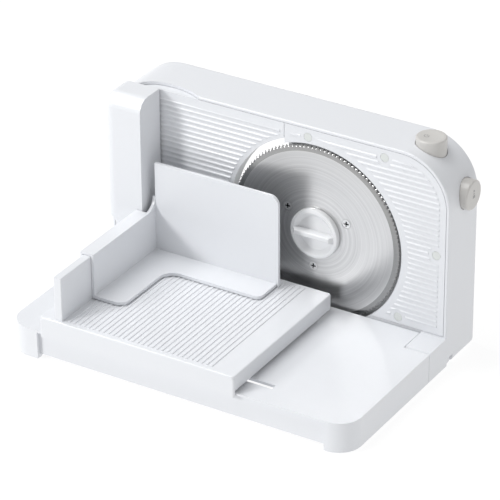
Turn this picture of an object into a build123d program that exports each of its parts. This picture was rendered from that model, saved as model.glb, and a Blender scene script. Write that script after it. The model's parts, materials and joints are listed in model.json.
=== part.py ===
from build123d import *
from math import ceil, cos, pi, radians, sin, sqrt
import os

# Electric food slicer that folds flat: a flat motor housing carries the round blade on its
# front, and a base platform hinged to the housing's feet carries a sliding food carriage.
# The working frame has X to the right and Y to the rear. Its zero is on the blade's axis,
# on the face of the front panel and on the underside of the mouldings. At the end each
# piece is moved to the origin under the middle of the slicer, on the table.

# Overall sizes
body_width = 346.0
right_reach = 132.5
left_reach = body_width - right_reach
housing_depth = 54.0
blade_radius = 85.0
blade_lift = 11.1
blade_height = blade_radius + blade_lift
crown_margin = 18.9
housing_height = blade_height + blade_radius + crown_margin
base_height = 28.6
corner_radius = 48.0
bottom_radius = 4.0
rear_edge_radius = 4.0
rear_bottom_radius = 8.0
rim_edge_radius = 1.2
wall = 2.6
foot_drop = 1.5
cover_depth = 4.4

# Fits that many pieces share
seam_gap = 0.5
seat_gap = 0.2
slide_gap = 0.35
shaft_gap = 0.05
overrun = 1.0

# Blade and its hub
blade_thickness = 1.2
blade_dish = 2.7
bevel_width = 9.0
bevel_radius = blade_radius - bevel_width
bevel_front = 1.2
edge_thickness = 0.3
serration_pitch = 4.1
serration_depth = 1.3
blade_bore_radius = 9.0
blade_opening_gap = 2.0
blade_opening_radius = blade_radius + blade_opening_gap
carrier_radius = 41.0
blade_flat_margin = 3.0
blade_flat_radius = carrier_radius + blade_flat_margin
carrier_thickness = 2.0
blade_screw_circle = 34.5
blade_screw_angles = (28.6, 147.1, 265.5)
lock_knob_radius = 24.0
lock_knob_front = 2.4
lock_bar_front = 6.4
lock_bar_width = 5.0
lock_bowl_radius = 20.5
lock_bowl_depth = 3.6
lock_edge_radius = 1.2
lock_stem_radius = 6.0

# Worm drive
spindle_radius = 5.0
spindle_length = 43.0
bush_wall = 3.0
bush_boss_wall = 3.5
chassis_front = 7.0
chassis_thickness = 2.5
front_bush_length = 11.0
rear_bush_length = 11.0
gear_module = 1.25
gear_teeth = 72
gear_radius = gear_module * gear_teeth / 2
gear_width = 9.0
gear_front = 24.0
gear_web = 4.0
gear_hub_radius = 11.0
gear_rim = 5.0
gear_window_radius = 7.5
gear_window_count = 6
tooth_tip_share = 0.10
tooth_root_share = 0.24
addendum_share = 0.85
dedendum_share = 1.2
worm_core_radius = 6.0
worm_throw = 1.2
worm_turns = 4
worm_play = 0.1
worm_phase = 0
worm_sides = 14
winding_steps = 12
motor_radius = 18.0
motor_length = 58.0
motor_start = 34.0
motor_cap_length = 5.0
motor_cap_step = 1.0
motor_nose_radius = 7.0
motor_nose_length = 3.0
motor_shaft_radius = 3.0
worm_collar_radius = 5.0
worm_collar_length = 3.0
worm_bearing_length = 6.0
worm_bearing_radius = 5.5
worm_bearing_gap = 10.0
can_wall = 1.6
armature_radius = 10.0
armature_start = 44.0
armature_length = 26.0
armature_slots = 5
armature_slot_width = 2.0
armature_slot_depth = 5.0
winding_radius = 8.0
winding_length = 4.0
commutator_radius = 5.5
commutator_start = 78.0
commutator_length = 6.0
magnet_inner = 12.0
magnet_angle = 120.0
brush_width = 4.0
brush_reach = 12.0
brush_holder_width = 6.5
terminal_width = 6.0
terminal_thickness = 0.8
terminal_length = 7.0
terminal_spread = 9.0
strap_thickness = 1.2
strap_width = 14.0
strap_place = 63.0
strap_lug = 9.0

# Inner chassis
compartment_gap = 11.0
compartment_radius = gear_radius + compartment_gap
compartment_wall = 2.2
panel_boss_radius = 4.0
cradle_width = 4.0
cradle_places = (42.0, 84.0)
cradle_half_height = 14.0

# Front panel and its screws
panel_thickness = 3.0
panel_left = 30.8
panel_collar = 2.0
panel_screw_shares = ((-0.054, 0.945), (0.518, 0.945), (0.912, 0.541), (0.639, 0.184))
plug_radius = 4.2
plug_thickness = 0.9
panel_head_height = 1.2
screw_head_radius = 3.0
screw_head_height = 1.6
screw_shank_radius = 1.5
screw_slot = 0.7
cross_share = 0.55
panel_screw_length = 7.0
cover_screw_length = 12.0
blade_screw_head_radius = 4.0
blade_screw_length = 2.6
motor_screw_length = 6.0

# Ribs on the food faces
rib_pitch = 5.0
rib_base = 2.8
rib_crest = 1.5
rib_height = 0.7
rib_sink = 0.3
face_rib_base = 4.4
face_rib_crest = 1.0
fence_rib_margin = 4.0
rib_margin = 6.5
plug_margin = 3.5

# Thickness fence, its carrier and its drive
fence_right = panel_left + seam_gap
fence_lift = 1.7
fence_bottom = base_height + fence_lift
fence_thickness = 3.0
fence_flange = 10.0
fence_flange_wall = 2.0
fence_arc_gap = 5.0
fence_arc_radius = blade_radius + fence_arc_gap
fence_arc_right = 2.8
fence_arc_up = 2.8
scallop_inset = 30.5
scallop_left = left_reach - scallop_inset
scallop_length = 65.0
scallop_right = scallop_left - scallop_length
scallop_depth = 9.0
knob_inset = 50.5
knob_left = left_reach - knob_inset
knob_height = 105.0
rod_spread = 48.0
rod_radius = 4.0
rod_front = 18.6
sleeve_wall = 3.2
sleeve_rear = 26.0
nut_rear = 24.0
nut_wall = 3.6
carrier_plate = 3.0
carrier_half_width = 15.0
carrier_margin = 12.0
fence_screw_inset = 5.0
screw_thread_radius = 6.0
screw_groove_radius = 4.4
screw_groove_floor = 3.2
groove_sides = 10
core_sides = 20
screw_lead = 18.0
screw_rear = 43.4
pin_radius = 1.1
pin_place = 21.5
nut_gap = 0.4
pin_gap = 1.4
clip_thickness = 1.0
clip_width = 2.4
knob_boss_front = 45.0
knob_boss_wall = 4.0
thickness_knob_radius = 26.0
thickness_knob_depth = 13.0
knob_flute_radius = 3.0
knob_flute_count = 24
knob_flute_bite = 1.1
knob_pointer_width = 3.0
knob_dish_radius = 17.0
knob_dish_depth = 2.0

# Slice outlet in the rear cover
outlet_inset = 45.0
outlet_left = knob_left - outlet_inset
outlet_right = 33.0
outlet_bottom = 5.0
outlet_drop = 20.0
outlet_top = housing_height - outlet_drop
outlet_clear = 3.0
outlet_corner = 6.0

# Buttons
button_radius = 13.7
button_hole_gap = 0.5
button_wall = 2.4
button_edge = 1.6
button_rim = 2.6
button_dish = 0.8
button_travel = 3.5
guide_wall = 2.2
flange_width = 1.4
flange_thickness = 2.4
start_inset = 33.1
start_right = right_reach - start_inset
start_rear = 26.7
start_proud = 6.3
start_top = housing_height + start_proud
start_guide_depth = 15.1
start_guide_bottom = housing_height - start_guide_depth
safety_rear = 32.3
safety_drop = 43.0
safety_height = housing_height - safety_drop
safety_face = 6.3
safety_guide_depth = 8.5
safety_travel = 3.0
leg_width = 4.0
leg_offset = 8.0
start_leg_offset = 10.0
lever_end = 3.0
press_gap = 0.3
shelf_gap = 0.5
shelf_height = start_guide_bottom - flange_thickness - seam_gap - button_travel - shelf_gap
shelf_thickness = 2.0
shelf_reach = 16.0
spigot_radius = 3.0
spigot_height = 3.0
spring_radius = 4.6
spring_wire = 0.9
spring_turns = 5
switch_length = 27.8
switch_height = 15.9
switch_width = 10.3
switch_lever = 1.4
switch_lever_thickness = 0.4
switch_hole_radius = 1.5

# Circuit board and cord entry
board_inset = 68.5
board_left = right_reach - board_inset
board_drop = 6.1
board_bottom = blade_height - board_drop
board_width = 48.0
board_height = 40.0
board_thickness = 1.6
standoff = 5.0
standoff_radius = 3.0
capacitor_radius = 7.0
capacitor_length = 15.0
rectifier_side = 15.0
rectifier_depth = 6.0
gland_inset = 68.5
gland_right = right_reach - gland_inset
gland_height = 14.0
gland_bore = 3.6
gland_wall = 2.2
gland_flange = 2.2
gland_flange_depth = 2.0
gland_length = 6.0

# Rear cover
cover_screw_shares = ((-0.94, 0.07), (0.94, 0.07), (-0.94, 0.6), (0.94, 0.6),
                      (-0.42, 0.95), (0.42, 0.95))
cover_boss_radius = 4.2
cover_boss_web = 2.4
cover_boss_reach = 12.0
cover_boss_length = 14.0
vent_count = 9
vent_width = 2.4
vent_height = 26.0
vent_pitch = 6.0
vent_left = 40.0
vent_bottom = 32.0

# Base platform and its hinge
base_front = 170.0
base_rear = 2.2
base_corner = 22.0
base_lip = 2.0
base_setback = 4.0
base_post = 24.0
base_band_bottom = 3.5
base_wall = 2.6
base_top = 2.6
base_rib = 1.6
base_rib_height = 12.0
ear_width = 24.5
ear_reach = 29.9
ear_gap = 0.5
pivot_front = 18.0
pivot_drop = 6.6
pivot_height = base_height - pivot_drop
pivot_radius = 2.5
pivot_length = 40.0
pivot_skin = 3.0
edge_notch_front = 7.0
edge_notch_width = 6.0
edge_notch_height = 7.0
edge_notch_depth = 4.0
knuckle_radius = 6.2
knuckle_length = 16.0
foot_radius = 8.0
foot_stub_radius = 3.0
foot_stub_length = 2.4
base_foot_inset = 22.0
base_foot_rear = 48.0
housing_foot_inset = 24.0
housing_foot_rear = 40.0
foot_post_radius = 9.5

# Runner that guides the carriage on the platform
slot_inset = 25.0
slot_front = base_front - slot_inset
slot_half_width = 3.2
runner_inset = 93.5
runner_left = left_reach - runner_inset
runner_length = 80.0
runner_half_width = 6.8
runner_rise = 4.8
runner_top = base_height + runner_rise
runner_play = 0.3
retainer_thickness = 2.0
retainer_half_width = 6.0
runner_screw_inset = 12.0
travel_left = 30.0
travel_right = 85.0

# Carriage tray
tray_inset = 37.5
tray_left = left_reach - tray_inset
tray_right = 22.5
tray_overhang = 2.8
tray_front = base_front + tray_overhang
tray_rear = 8.0
tray_rise = 17.4
tray_top = base_height + tray_rise
tray_thickness = 3.0
tray_skirt = 2.2
tray_corner = 3.0
tray_edge = 1.2
front_skirt_lap = 3.1
front_skirt_bottom = base_height - front_skirt_lap
side_skirt_gap = 2.9
side_skirt_bottom = base_height + side_skirt_gap
tray_rib_right = 1.0
tray_rib_margin = 5.0
drive_rib = 2.2
drive_rib_gap = 0.4
drive_rib_bottom = base_height + drive_rib_gap
wall_inset = 14.5
wall_left = tray_left - wall_inset
wall_width = 8.0
wall_right = wall_left - wall_width
wall_rise = 42.5
wall_top = tray_top + wall_rise
wall_front_step = 2.6
wall_core = 3.6
wall_edge = 1.0

# Thumb guard
guard_inset = 14.5
guard_left = left_reach - guard_inset
guard_lap = 3.5
guard_right = wall_left - guard_lap
guard_front = 34.6
guard_rear = 2.5
guard_drop = 1.0
guard_top = housing_height - guard_drop
guard_shell = 2.5
guard_side_radius = 12.0
guard_brow_radius = 13.0
guard_flare_rise = 28.0
guard_flare_height = tray_top + guard_flare_rise
guard_foot_rise = 10.0
guard_flare_low = tray_top + guard_foot_rise
guard_foot_left = tray_left - seam_gap
guard_boss_radius = 3.8
guard_boss_height = 12.0
guard_screw_spread = 15.0
wall_rear = guard_front + seat_gap

# Pusher that holds the food
pusher_gap = 3.0
pusher_left = wall_right - pusher_gap
pusher_skin = 2.7
pusher_strip_reach = 2.7
pusher_strip_left = wall_left + pusher_strip_reach
pusher_lip_drop = 6.5
pusher_strip_rise = 2.5
pusher_strip_top = wall_top + pusher_strip_rise
pusher_strip_thickness = 2.2
pusher_front = 124.0
pusher_plate_front = 24.4
pusher_plate_thickness = 3.0
pusher_plate_right = 22.5
pusher_plate_rise = 48.3
pusher_plate_top = wall_top + pusher_plate_rise
pusher_plate_corner = 9.0
pusher_gusset_radius = 12.0
pusher_floor = 0.5
pusher_flange = 3.0
flange_arm_width = 30.2
flange_arm_right = pusher_left - flange_arm_width
flange_arm_corner = 10.0
flange_front = 52.8
flange_inner_radius = 14.0
flange_right = 24.5
flange_corner = 6.0
grip_pitch = 6.0
grip_width = 3.0
grip_height = 2.6
grip_margin = 10.0
tray_rib_inset = 2.5
tray_rib_left = pusher_left - tray_rib_inset

# Worked out from the sizes above
right_side = right_reach
left_side = -left_reach
body_middle = right_reach - body_width / 2
shell_depth = housing_depth - cover_depth
cover_inside = housing_depth - wall
button_hole = button_radius + button_hole_gap
worm_pitch = gear_module * pi
worm_height = blade_height - gear_radius - worm_core_radius - worm_play
worm_rear = gear_front + gear_width / 2
switch_top = shelf_height - shelf_thickness - switch_lever - button_travel
tray_under = tray_top - tray_thickness
pusher_low = tray_top + rib_height + pusher_floor
chassis_rear = chassis_front + chassis_thickness
carrier_front = blade_dish + blade_thickness
bush_radius = spindle_radius + bush_wall


def plate(shape, front, depth):
    """Extrude an outline drawn on X and Z towards the rear."""
    return extrude(Plane.XZ.offset(-front) * shape, amount=-depth)


def slab(shape, low, height):
    """Extrude an outline drawn on X and Y upwards."""
    return extrude(Plane.XY.offset(low) * shape, amount=height)


def side_slab(shape, left, width):
    """Extrude an outline drawn on Y and Z to the right."""
    return extrude(Plane.YZ.offset(left) * shape, amount=width)


def rectangle(left, right, low, high):
    """A rectangle between its four sides."""
    return Pos((left + right) / 2, (low + high) / 2) * Rectangle(right - left, high - low)


def block(left, right, front, rear, low, high):
    """A box between its six sides."""
    middle = Pos((left + right) / 2, (front + rear) / 2, (low + high) / 2)
    return middle * Box(right - left, rear - front, high - low)


def disc(across, up, radius):
    """A circle at a place on its sketch plane."""
    return Pos(across, up) * Circle(radius)


def turned(points, across, up):
    """Turn a profile of radius and depth about an axis that runs to the rear."""
    return Pos(across, 0, up) * revolve(make_face(Polyline(*points, close=True)), Axis.Y)


def tube_y(across, up, outer, inner, front, depth):
    """A sleeve that runs to the rear."""
    return plate(disc(across, up, outer) - disc(across, up, inner), front, depth)


def joined(pieces):
    """Put several separate solids into one node."""
    return Compound([solid for piece in pieces for solid in piece.solids()])


def housing_outline(inset):
    """The housing from the front, drawn in by an inset."""
    shape = rectangle(left_side + inset, right_side - inset, inset, housing_height - inset)
    shape = fillet(shape.vertices().group_by(Axis.Y)[-1], corner_radius - inset)
    return fillet(shape.vertices().group_by(Axis.Y)[0], bottom_radius)


def housing_block():
    """The whole outside of the housing, with its rounded rear and front edges."""
    solid = plate(housing_outline(0), 0, housing_depth)
    solid = fillet(solid.faces().sort_by(Axis.Y)[-1].edges(), rear_edge_radius)
    solid = fillet(solid.faces().sort_by(Axis.Y)[0].edges(), rim_edge_radius)
    side = rectangle(-overrun, housing_depth, 0, housing_height + overrun)
    lower_rear = side.vertices().group_by(Axis.Y)[0].sort_by(Axis.X)[-1]
    side = fillet(lower_rear, rear_bottom_radius)
    return solid & side_slab(side, left_side - overrun, body_width + overrun * 2)


def compartment(inset):
    """The closed space for the drive, from the front: right of the fence and round the hub."""
    right = rectangle(-panel_left + slide_gap + inset, right_side, 0, housing_height)
    shape = right + disc(0, blade_height, compartment_radius - inset)
    return shape & housing_outline(wall + seat_gap)


def button_guides():
    """Sleeves under the skin that guide the two buttons."""
    start = Pos(start_right, start_rear) * Circle(button_hole + guide_wall)
    start = slab(start, start_guide_bottom, housing_height - start_guide_bottom)
    safety = disc(safety_rear, safety_height, button_hole + guide_wall)
    depth = safety_guide_depth
    return start + side_slab(safety, right_side - depth, depth)


def button_holes():
    """The holes that the two buttons pass through."""
    low = start_guide_bottom - overrun
    start = slab(Pos(start_right, start_rear) * Circle(button_hole), low, housing_height - low)
    left = right_side - safety_guide_depth - overrun
    safety = side_slab(disc(safety_rear, safety_height, button_hole), left, right_side - left)
    return start + safety


def cover_boss_shapes():
    """Screw bosses of the rear cover, each with a web to the nearest wall."""
    shape = Sketch()
    half = cover_boss_web / 2
    for across, up in cover_screw_places():
        shape += disc(across, up, cover_boss_radius)
        if up > housing_height - cover_boss_reach:
            shape += rectangle(across - half, across + half, up, up + cover_boss_reach)
        elif across > 0:
            shape += rectangle(across, across + cover_boss_reach, up - half, up + half)
        else:
            shape += rectangle(across - cover_boss_reach, across, up - half, up + half)
    return shape & housing_outline(wall / 2)


def cover_screw_places():
    """Where the screws of the rear cover stand, on X and Z."""
    half = body_width / 2
    return [(body_middle + across * half, up * housing_height) for across, up in cover_screw_shares]


def panel_screw_places():
    """Where the screws of the front panel stand, on X and Z."""
    return [(across * right_reach, up * housing_height) for across, up in panel_screw_shares]


def ear(left):
    """One hinge ear in front of the housing, with a front end that clears the turning base."""
    shape = rectangle(-ear_reach, wall, 0, base_height)
    reach = ear_reach - pivot_front
    clear = rectangle(-ear_reach, -pivot_front, pivot_height, base_height)
    clear -= disc(-pivot_front, pivot_height, reach)
    return side_slab(shape - clear, left, ear_width)


def housing_shell():
    """Moulded shell of the housing, with hinge ears, apron, button guides and screw bosses."""
    outside = housing_block() - block(left_side - overrun, right_side + overrun, shell_depth,
                                      housing_depth + overrun, -overrun, housing_height + overrun)
    cavity = plate(housing_outline(wall), -overrun, shell_depth + overrun * 2)
    shell = outside - cavity
    apron_top = fence_bottom - seam_gap
    apron = plate(rectangle(left_side + wall, right_side - wall, wall, apron_top), 0, wall)
    shell += apron
    shell += button_guides() & outside
    for left in (left_side, right_side - ear_width):
        shell += ear(left)
    boss_front = shell_depth - cover_boss_length
    shell += plate(cover_boss_shapes(), boss_front, cover_boss_length)
    shell -= plate(disc(0, blade_height, blade_opening_radius), -overrun, wall + overrun * 2)
    shell -= button_holes()
    for across, up in cover_screw_places():
        hole_front = shell_depth - cover_screw_length + overrun
        shell -= plate(disc(across, up, screw_shank_radius), hole_front, cover_screw_length)
    shell -= hinge_bores(left_side + pivot_skin, right_side - pivot_skin)
    shell -= scallop()
    shell -= block(right_side - edge_notch_depth, right_side + overrun, edge_notch_front,
                   edge_notch_front + edge_notch_width, -overrun, edge_notch_height)
    for across in housing_foot_places():
        stub = Pos(across, housing_foot_rear) * Circle(foot_stub_radius)
        shell -= slab(stub, -overrun, wall + overrun * 2)
    return shell


def hinge_bores(left, right):
    """The two bores on the fold axis, one in each ear."""
    shape = disc(-pivot_front, pivot_height, pivot_radius)
    inner = ear_width - pivot_skin
    return side_slab(shape, left, inner) + side_slab(shape, right - inner, inner)


def scallop():
    """Shallow arc cut in the top lip of the housing, over the fence's flange."""
    chord = scallop_left - scallop_right
    radius = chord * chord / scallop_depth / 8 + scallop_depth / 2
    middle = -(scallop_left + scallop_right) / 2
    shape = Pos(middle, scallop_depth - radius) * Circle(radius)
    shape &= rectangle(-scallop_left - overrun, -scallop_right + overrun, -overrun, scallop_depth)
    low = housing_height - corner_radius / 4
    return slab(shape, low, housing_height + overrun - low)


def outlet_outline(inset):
    """Opening behind the blade's left side, where the slices leave."""
    shape = rectangle(-outlet_left + inset, -outlet_right - inset, outlet_bottom + inset,
                      outlet_top - inset)
    shape -= disc(0, blade_height, compartment_radius + outlet_clear + inset)
    return fillet(shape.vertices().group_by(Axis.X)[0], outlet_corner)


def knob_boss():
    """Boss inside the rear cover that carries the thickness screw."""
    radius = spindle_radius + shaft_gap + knob_boss_wall
    return plate(disc(-knob_left, knob_height, radius), knob_boss_front, cover_inside - knob_boss_front)


def rod_places():
    """Heights of the two guide rods of the fence."""
    return (knob_height - rod_spread, knob_height + rod_spread)


def rear_cover():
    """Rear cover with the slice outlet, vents, knob boss and rear bearing boss."""
    front = shell_depth
    cover = housing_block() - block(left_side - overrun, right_side + overrun, -overrun, front,
                                    -overrun, housing_height + overrun)
    cover -= plate(housing_outline(wall * 2), front - overrun, cover_inside - front + overrun)
    bearing_front = cover_inside - rear_bush_length
    radius = bush_radius + bush_boss_wall
    cover += plate(disc(0, blade_height, radius), bearing_front, rear_bush_length)
    cover += knob_boss()
    rod_boss = rod_radius + sleeve_wall
    for up in rod_places():
        depth = cover_inside - screw_rear
        cover += plate(disc(-knob_left, up, rod_boss), screw_rear, depth)
    for across, up in cover_screw_places():
        cover += plate(disc(across, up, cover_boss_radius), front, cover_inside - front)
    cover -= plate(disc(0, blade_height, bush_radius), bearing_front - overrun,
                   rear_bush_length + overrun)
    cover -= plate(disc(-knob_left, knob_height, spindle_radius + shaft_gap),
                   knob_boss_front - overrun, housing_depth - knob_boss_front + overrun * 2)
    for up in rod_places():
        cover -= plate(disc(-knob_left, up, rod_radius), screw_rear - overrun,
                       cover_inside - screw_rear + overrun)
    for across, up in cover_screw_places():
        cover -= plate(disc(across, up, screw_shank_radius), front - overrun,
                       cover_depth + overrun * 2)
        cover -= plate(disc(across, up, screw_head_radius + seat_gap),
                       housing_depth - screw_head_height, screw_head_height + overrun)
    cover -= plate(outlet_outline(0), front - overrun, cover_depth + overrun * 2)
    cover -= plate(disc(gland_right, gland_height, gland_bore + gland_wall), front - overrun,
                   cover_depth + overrun * 2)
    for index in range(vent_count):
        left = vent_left + index * vent_pitch
        slot = rectangle(left, left + vent_width, vent_bottom, vent_bottom + vent_height)
        cover -= plate(slot, front - overrun, cover_depth + overrun * 2)
    return cover


def chassis():
    """Inner chassis: plate behind the blade, gear compartment wall, cradle and switch seats."""
    outline = compartment(0)
    frame = plate(outline, chassis_front, chassis_thickness)
    wall_depth = cover_inside - seat_gap - chassis_front - wall
    ring = compartment(0) - compartment(compartment_wall)
    ring &= rectangle(left_side, -outlet_right + wall * 2, 0, housing_height)
    frame += plate(ring, chassis_front, wall_depth)
    radius = bush_radius + bush_boss_wall
    frame += plate(disc(0, blade_height, radius), chassis_front, front_bush_length)
    for across, up in panel_screw_places():
        boss_depth = chassis_front - panel_thickness
        frame += plate(disc(across, up, panel_boss_radius), panel_thickness, boss_depth)
    frame += motor_cradle()
    frame += switch_seats()
    for across, up in standoff_places():
        frame += plate(disc(across, up, standoff_radius), chassis_rear, standoff)
    frame -= plate(disc(0, blade_height, bush_radius), chassis_front - overrun,
                   front_bush_length + overrun * 2)
    for across, up in panel_screw_places():
        frame -= plate(disc(across, up, screw_shank_radius), panel_thickness - overrun,
                       panel_screw_length)
    return frame


def motor_cradle():
    """Saddles under the motor, pads for its strap and the pillar of the worm's end bearing."""
    low = worm_height - cradle_half_height
    high = worm_height + cradle_half_height
    pieces = []
    for left in cradle_places:
        pieces.append(block(left, left + cradle_width, chassis_rear, worm_rear, low, high))
    cradle = pieces[0] + pieces[1]
    cradle -= side_slab(disc(worm_rear, worm_height, motor_radius), motor_start, motor_length)
    for direction in (-1, 1):
        middle = worm_height + direction * (motor_radius + strap_lug / 2)
        cradle += block(strap_place, strap_place + strap_width, chassis_rear,
                        worm_rear - strap_thickness, middle - strap_lug / 2 + strap_thickness,
                        middle + strap_lug / 2)
        cradle -= plate(disc(strap_place + strap_width / 2, middle, screw_shank_radius),
                        worm_rear - motor_screw_length, motor_screw_length)
    left = -worm_length / 2 - worm_bearing_gap - worm_bearing_length
    pillar = block(left, left + worm_bearing_length, chassis_rear,
                   worm_rear + worm_bearing_radius + wall, worm_height - worm_bearing_radius - wall,
                   worm_height + worm_bearing_radius + wall)
    pillar -= side_slab(disc(worm_rear, worm_height, worm_bearing_radius), left - overrun,
                        worm_bearing_length + overrun * 2)
    return cradle + pillar


def switch_seats():
    """Pedestals for the two switches and the shelf that the button's spring stands on."""
    start = block(start_switch_left, start_switch_left + switch_length, chassis_rear,
                  start_rear - switch_width / 2, switch_top - switch_height + wall, switch_top)
    start -= block(start_switch_left + wall, start_switch_left + switch_length - wall,
                   chassis_rear - overrun, start_rear - switch_width / 2 - wall,
                   switch_top - switch_height + wall * 2, switch_top - wall)
    low = safety_height - switch_length + leg_offset
    safety = block(safety_switch_right - switch_height, safety_switch_right, chassis_rear,
                   safety_rear - switch_width / 2, low, low + switch_length)
    safety -= block(safety_switch_right - switch_height + wall, safety_switch_right - wall,
                    chassis_rear - overrun, safety_rear - switch_width / 2 - wall, low + wall,
                    low + switch_length - wall)
    shelf = block(start_right - shelf_reach, start_right + shelf_reach, chassis_rear,
                  start_rear + shelf_reach, shelf_height - shelf_thickness, shelf_height)
    spigot = slab(Pos(start_right, start_rear) * Circle(spigot_radius), shelf_height, spigot_height)
    slot_middle = start_right - start_leg_offset
    slot = block(slot_middle - leg_width, slot_middle + leg_width, start_rear - leg_width,
                 start_rear + leg_width, shelf_height - shelf_thickness * 2,
                 shelf_height + overrun)
    return start + safety + (shelf - slot) + spigot


def standoff_places():
    """Corners of the circuit board, on X and Z."""
    inset = standoff_radius + overrun
    lefts = (board_left + inset, board_left + board_width - inset)
    lows = (board_bottom + inset, board_bottom + board_height - inset)
    return [(across, up) for across in lefts for up in lows]


def rib_comb(first, last, root, base, crest):
    """Profile of evenly spaced ribs on a line, as one closed face."""
    count = int((last - first) / rib_pitch) + 1
    points = [(first - rib_pitch / 2, -root * 2), (first - rib_pitch / 2, -root)]
    for index in range(count):
        middle = first + index * rib_pitch
        points.append((middle - base / 2, -root))
        points.append((middle - crest / 2, rib_height))
        points.append((middle + crest / 2, rib_height))
        points.append((middle + base / 2, -root))
    end = first + (count - 1) * rib_pitch + rib_pitch / 2
    points.append((end, -root))
    points.append((end, -root * 2))
    return make_face(Polyline(*points, close=True))


def face_ribs(area):
    """Level ribs on a food face, over one area of X and Z."""
    first = fence_bottom + rib_margin + rib_base / 2
    last = housing_height - wall - seam_gap - rib_margin - rib_base / 2
    start = Plane((left_side, 0, 0), x_dir=(0, 0, 1), z_dir=(1, 0, 0))
    comb = rib_comb(first, last, rib_sink, face_rib_base, face_rib_crest)
    bars = extrude(start * comb, amount=body_width)
    return bars & plate(area, -rib_height - overrun, rib_height + overrun + fence_thickness)


def panel_outline(inset):
    """Front panel right of the fence and round the blade, drawn in by an inset."""
    shape = housing_outline(wall + seam_gap + inset)
    shape &= rectangle(-panel_left + inset, right_side, fence_bottom + inset, housing_height)
    return shape - disc(0, blade_height, blade_opening_radius + inset)


def front_panel():
    """Ribbed front panel with a collar round the blade and four plugged screw holes."""
    panel = plate(panel_outline(0), 0, panel_thickness)
    area = panel_outline(rib_margin)
    for across, up in panel_screw_places():
        area -= disc(across, up, plug_radius + plug_margin)
    panel += face_ribs(area)
    collar = disc(0, blade_height, blade_opening_radius + panel_collar)
    collar -= disc(0, blade_height, blade_opening_radius)
    collar &= panel_outline(0)
    panel += plate(collar, 0, chassis_front - seat_gap)
    for across, up in panel_screw_places():
        panel -= plate(disc(across, up, plug_radius), -overrun, plug_thickness + overrun)
        panel -= plate(disc(across, up, screw_head_radius + seat_gap), 0,
                       plug_thickness + panel_head_height)
        panel -= plate(disc(across, up, screw_shank_radius), 0, panel_thickness + overrun)
    return panel


def plain_screw(head_radius, head_height, length):
    """Screw with a flat head whose face is at zero and whose shank points to the rear."""
    points = [(0, 0), (head_radius, 0), (head_radius, head_height),
              (screw_shank_radius, head_height), (screw_shank_radius, length), (0, length)]
    return revolve(make_face(Polyline(*points, close=True)), Axis.Y)


def cross_recess(head_radius, depth):
    """Cross that is cut in the head of a screw."""
    half = head_radius * cross_share
    across = rectangle(-half, half, -screw_slot / 2, screw_slot / 2)
    upright = rectangle(-screw_slot / 2, screw_slot / 2, -half, half)
    return plate(across + upright, -overrun, depth + overrun)


def panel_screws():
    """Four screws that hold the front panel to the chassis."""
    front = plug_thickness
    screw = plain_screw(screw_head_radius, panel_head_height,
                        panel_screw_length - front - seat_gap)
    return joined(Pos(across, front, up) * screw for across, up in panel_screw_places())


def screw_plugs():
    """Four round plugs over the panel's screws."""
    plug = plate(Circle(plug_radius - seat_gap), 0, plug_thickness)
    return joined(Pos(across, 0, up) * plug for across, up in panel_screw_places())


def cover_screws():
    """Six screws that hold the rear cover."""
    screw = plain_screw(screw_head_radius, screw_head_height, cover_screw_length - seat_gap)
    screw -= cross_recess(screw_head_radius, screw_head_height / 2)
    screw = Rotation(0, 0, 180) * screw
    return joined(Pos(across, housing_depth, up) * screw for across, up in cover_screw_places())


def blade():
    """Dished round blade with a ground bevel and a fine scalloped edge."""
    tip_rear = bevel_front + blade_thickness
    points = [(blade_bore_radius, blade_dish), (blade_flat_radius, blade_dish),
              (bevel_radius, bevel_front), (blade_radius, tip_rear - edge_thickness),
              (blade_radius, tip_rear), (bevel_radius, tip_rear),
              (blade_flat_radius, blade_dish + blade_thickness),
              (blade_bore_radius, blade_dish + blade_thickness)]
    body = revolve(make_face(Polyline(*points, close=True)), Axis.Y)
    count = round(2 * pi * blade_radius / serration_pitch)
    step = 2 * pi / count
    low = blade_radius - serration_depth
    curves = []
    for index in range(count):
        start = index * step
        ends = [(blade_radius * cos(angle), blade_radius * sin(angle))
                for angle in (start, start + step)]
        middle = (low * cos(start + step / 2), low * sin(start + step / 2))
        curves.append(ThreePointArc(ends[0], middle, ends[1]))
    rim = plate(make_face(Wire(curves)), bevel_front - overrun, blade_dish + overrun * 2)
    body &= rim
    for angle in blade_screw_angles:
        across, up = on_circle(blade_screw_circle, angle)
        body -= plate(disc(across, up, screw_shank_radius), 0, carrier_front + overrun)
        sink = [(0, blade_dish), (blade_screw_head_radius + seat_gap, blade_dish),
                (screw_shank_radius + seat_gap, carrier_front), (0, carrier_front)]
        body -= turned(sink, across, up)
    return Pos(0, 0, blade_height) * body


def on_circle(radius, angle):
    """Place on a circle about the origin, from an angle in degrees."""
    return radius * cos(radians(angle)), radius * sin(radians(angle))


def blade_screws():
    """Three countersunk screws through the blade into its carrier."""
    points = [(0, 0), (blade_screw_head_radius, 0), (screw_shank_radius, blade_thickness),
              (screw_shank_radius, blade_screw_length), (0, blade_screw_length)]
    screw = revolve(make_face(Polyline(*points, close=True)), Axis.Y)
    screw -= cross_recess(blade_screw_head_radius, blade_thickness / 2)
    places = [on_circle(blade_screw_circle, angle) for angle in blade_screw_angles]
    return joined(Pos(across, blade_dish, blade_height + up) * screw for across, up in places)


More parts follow.
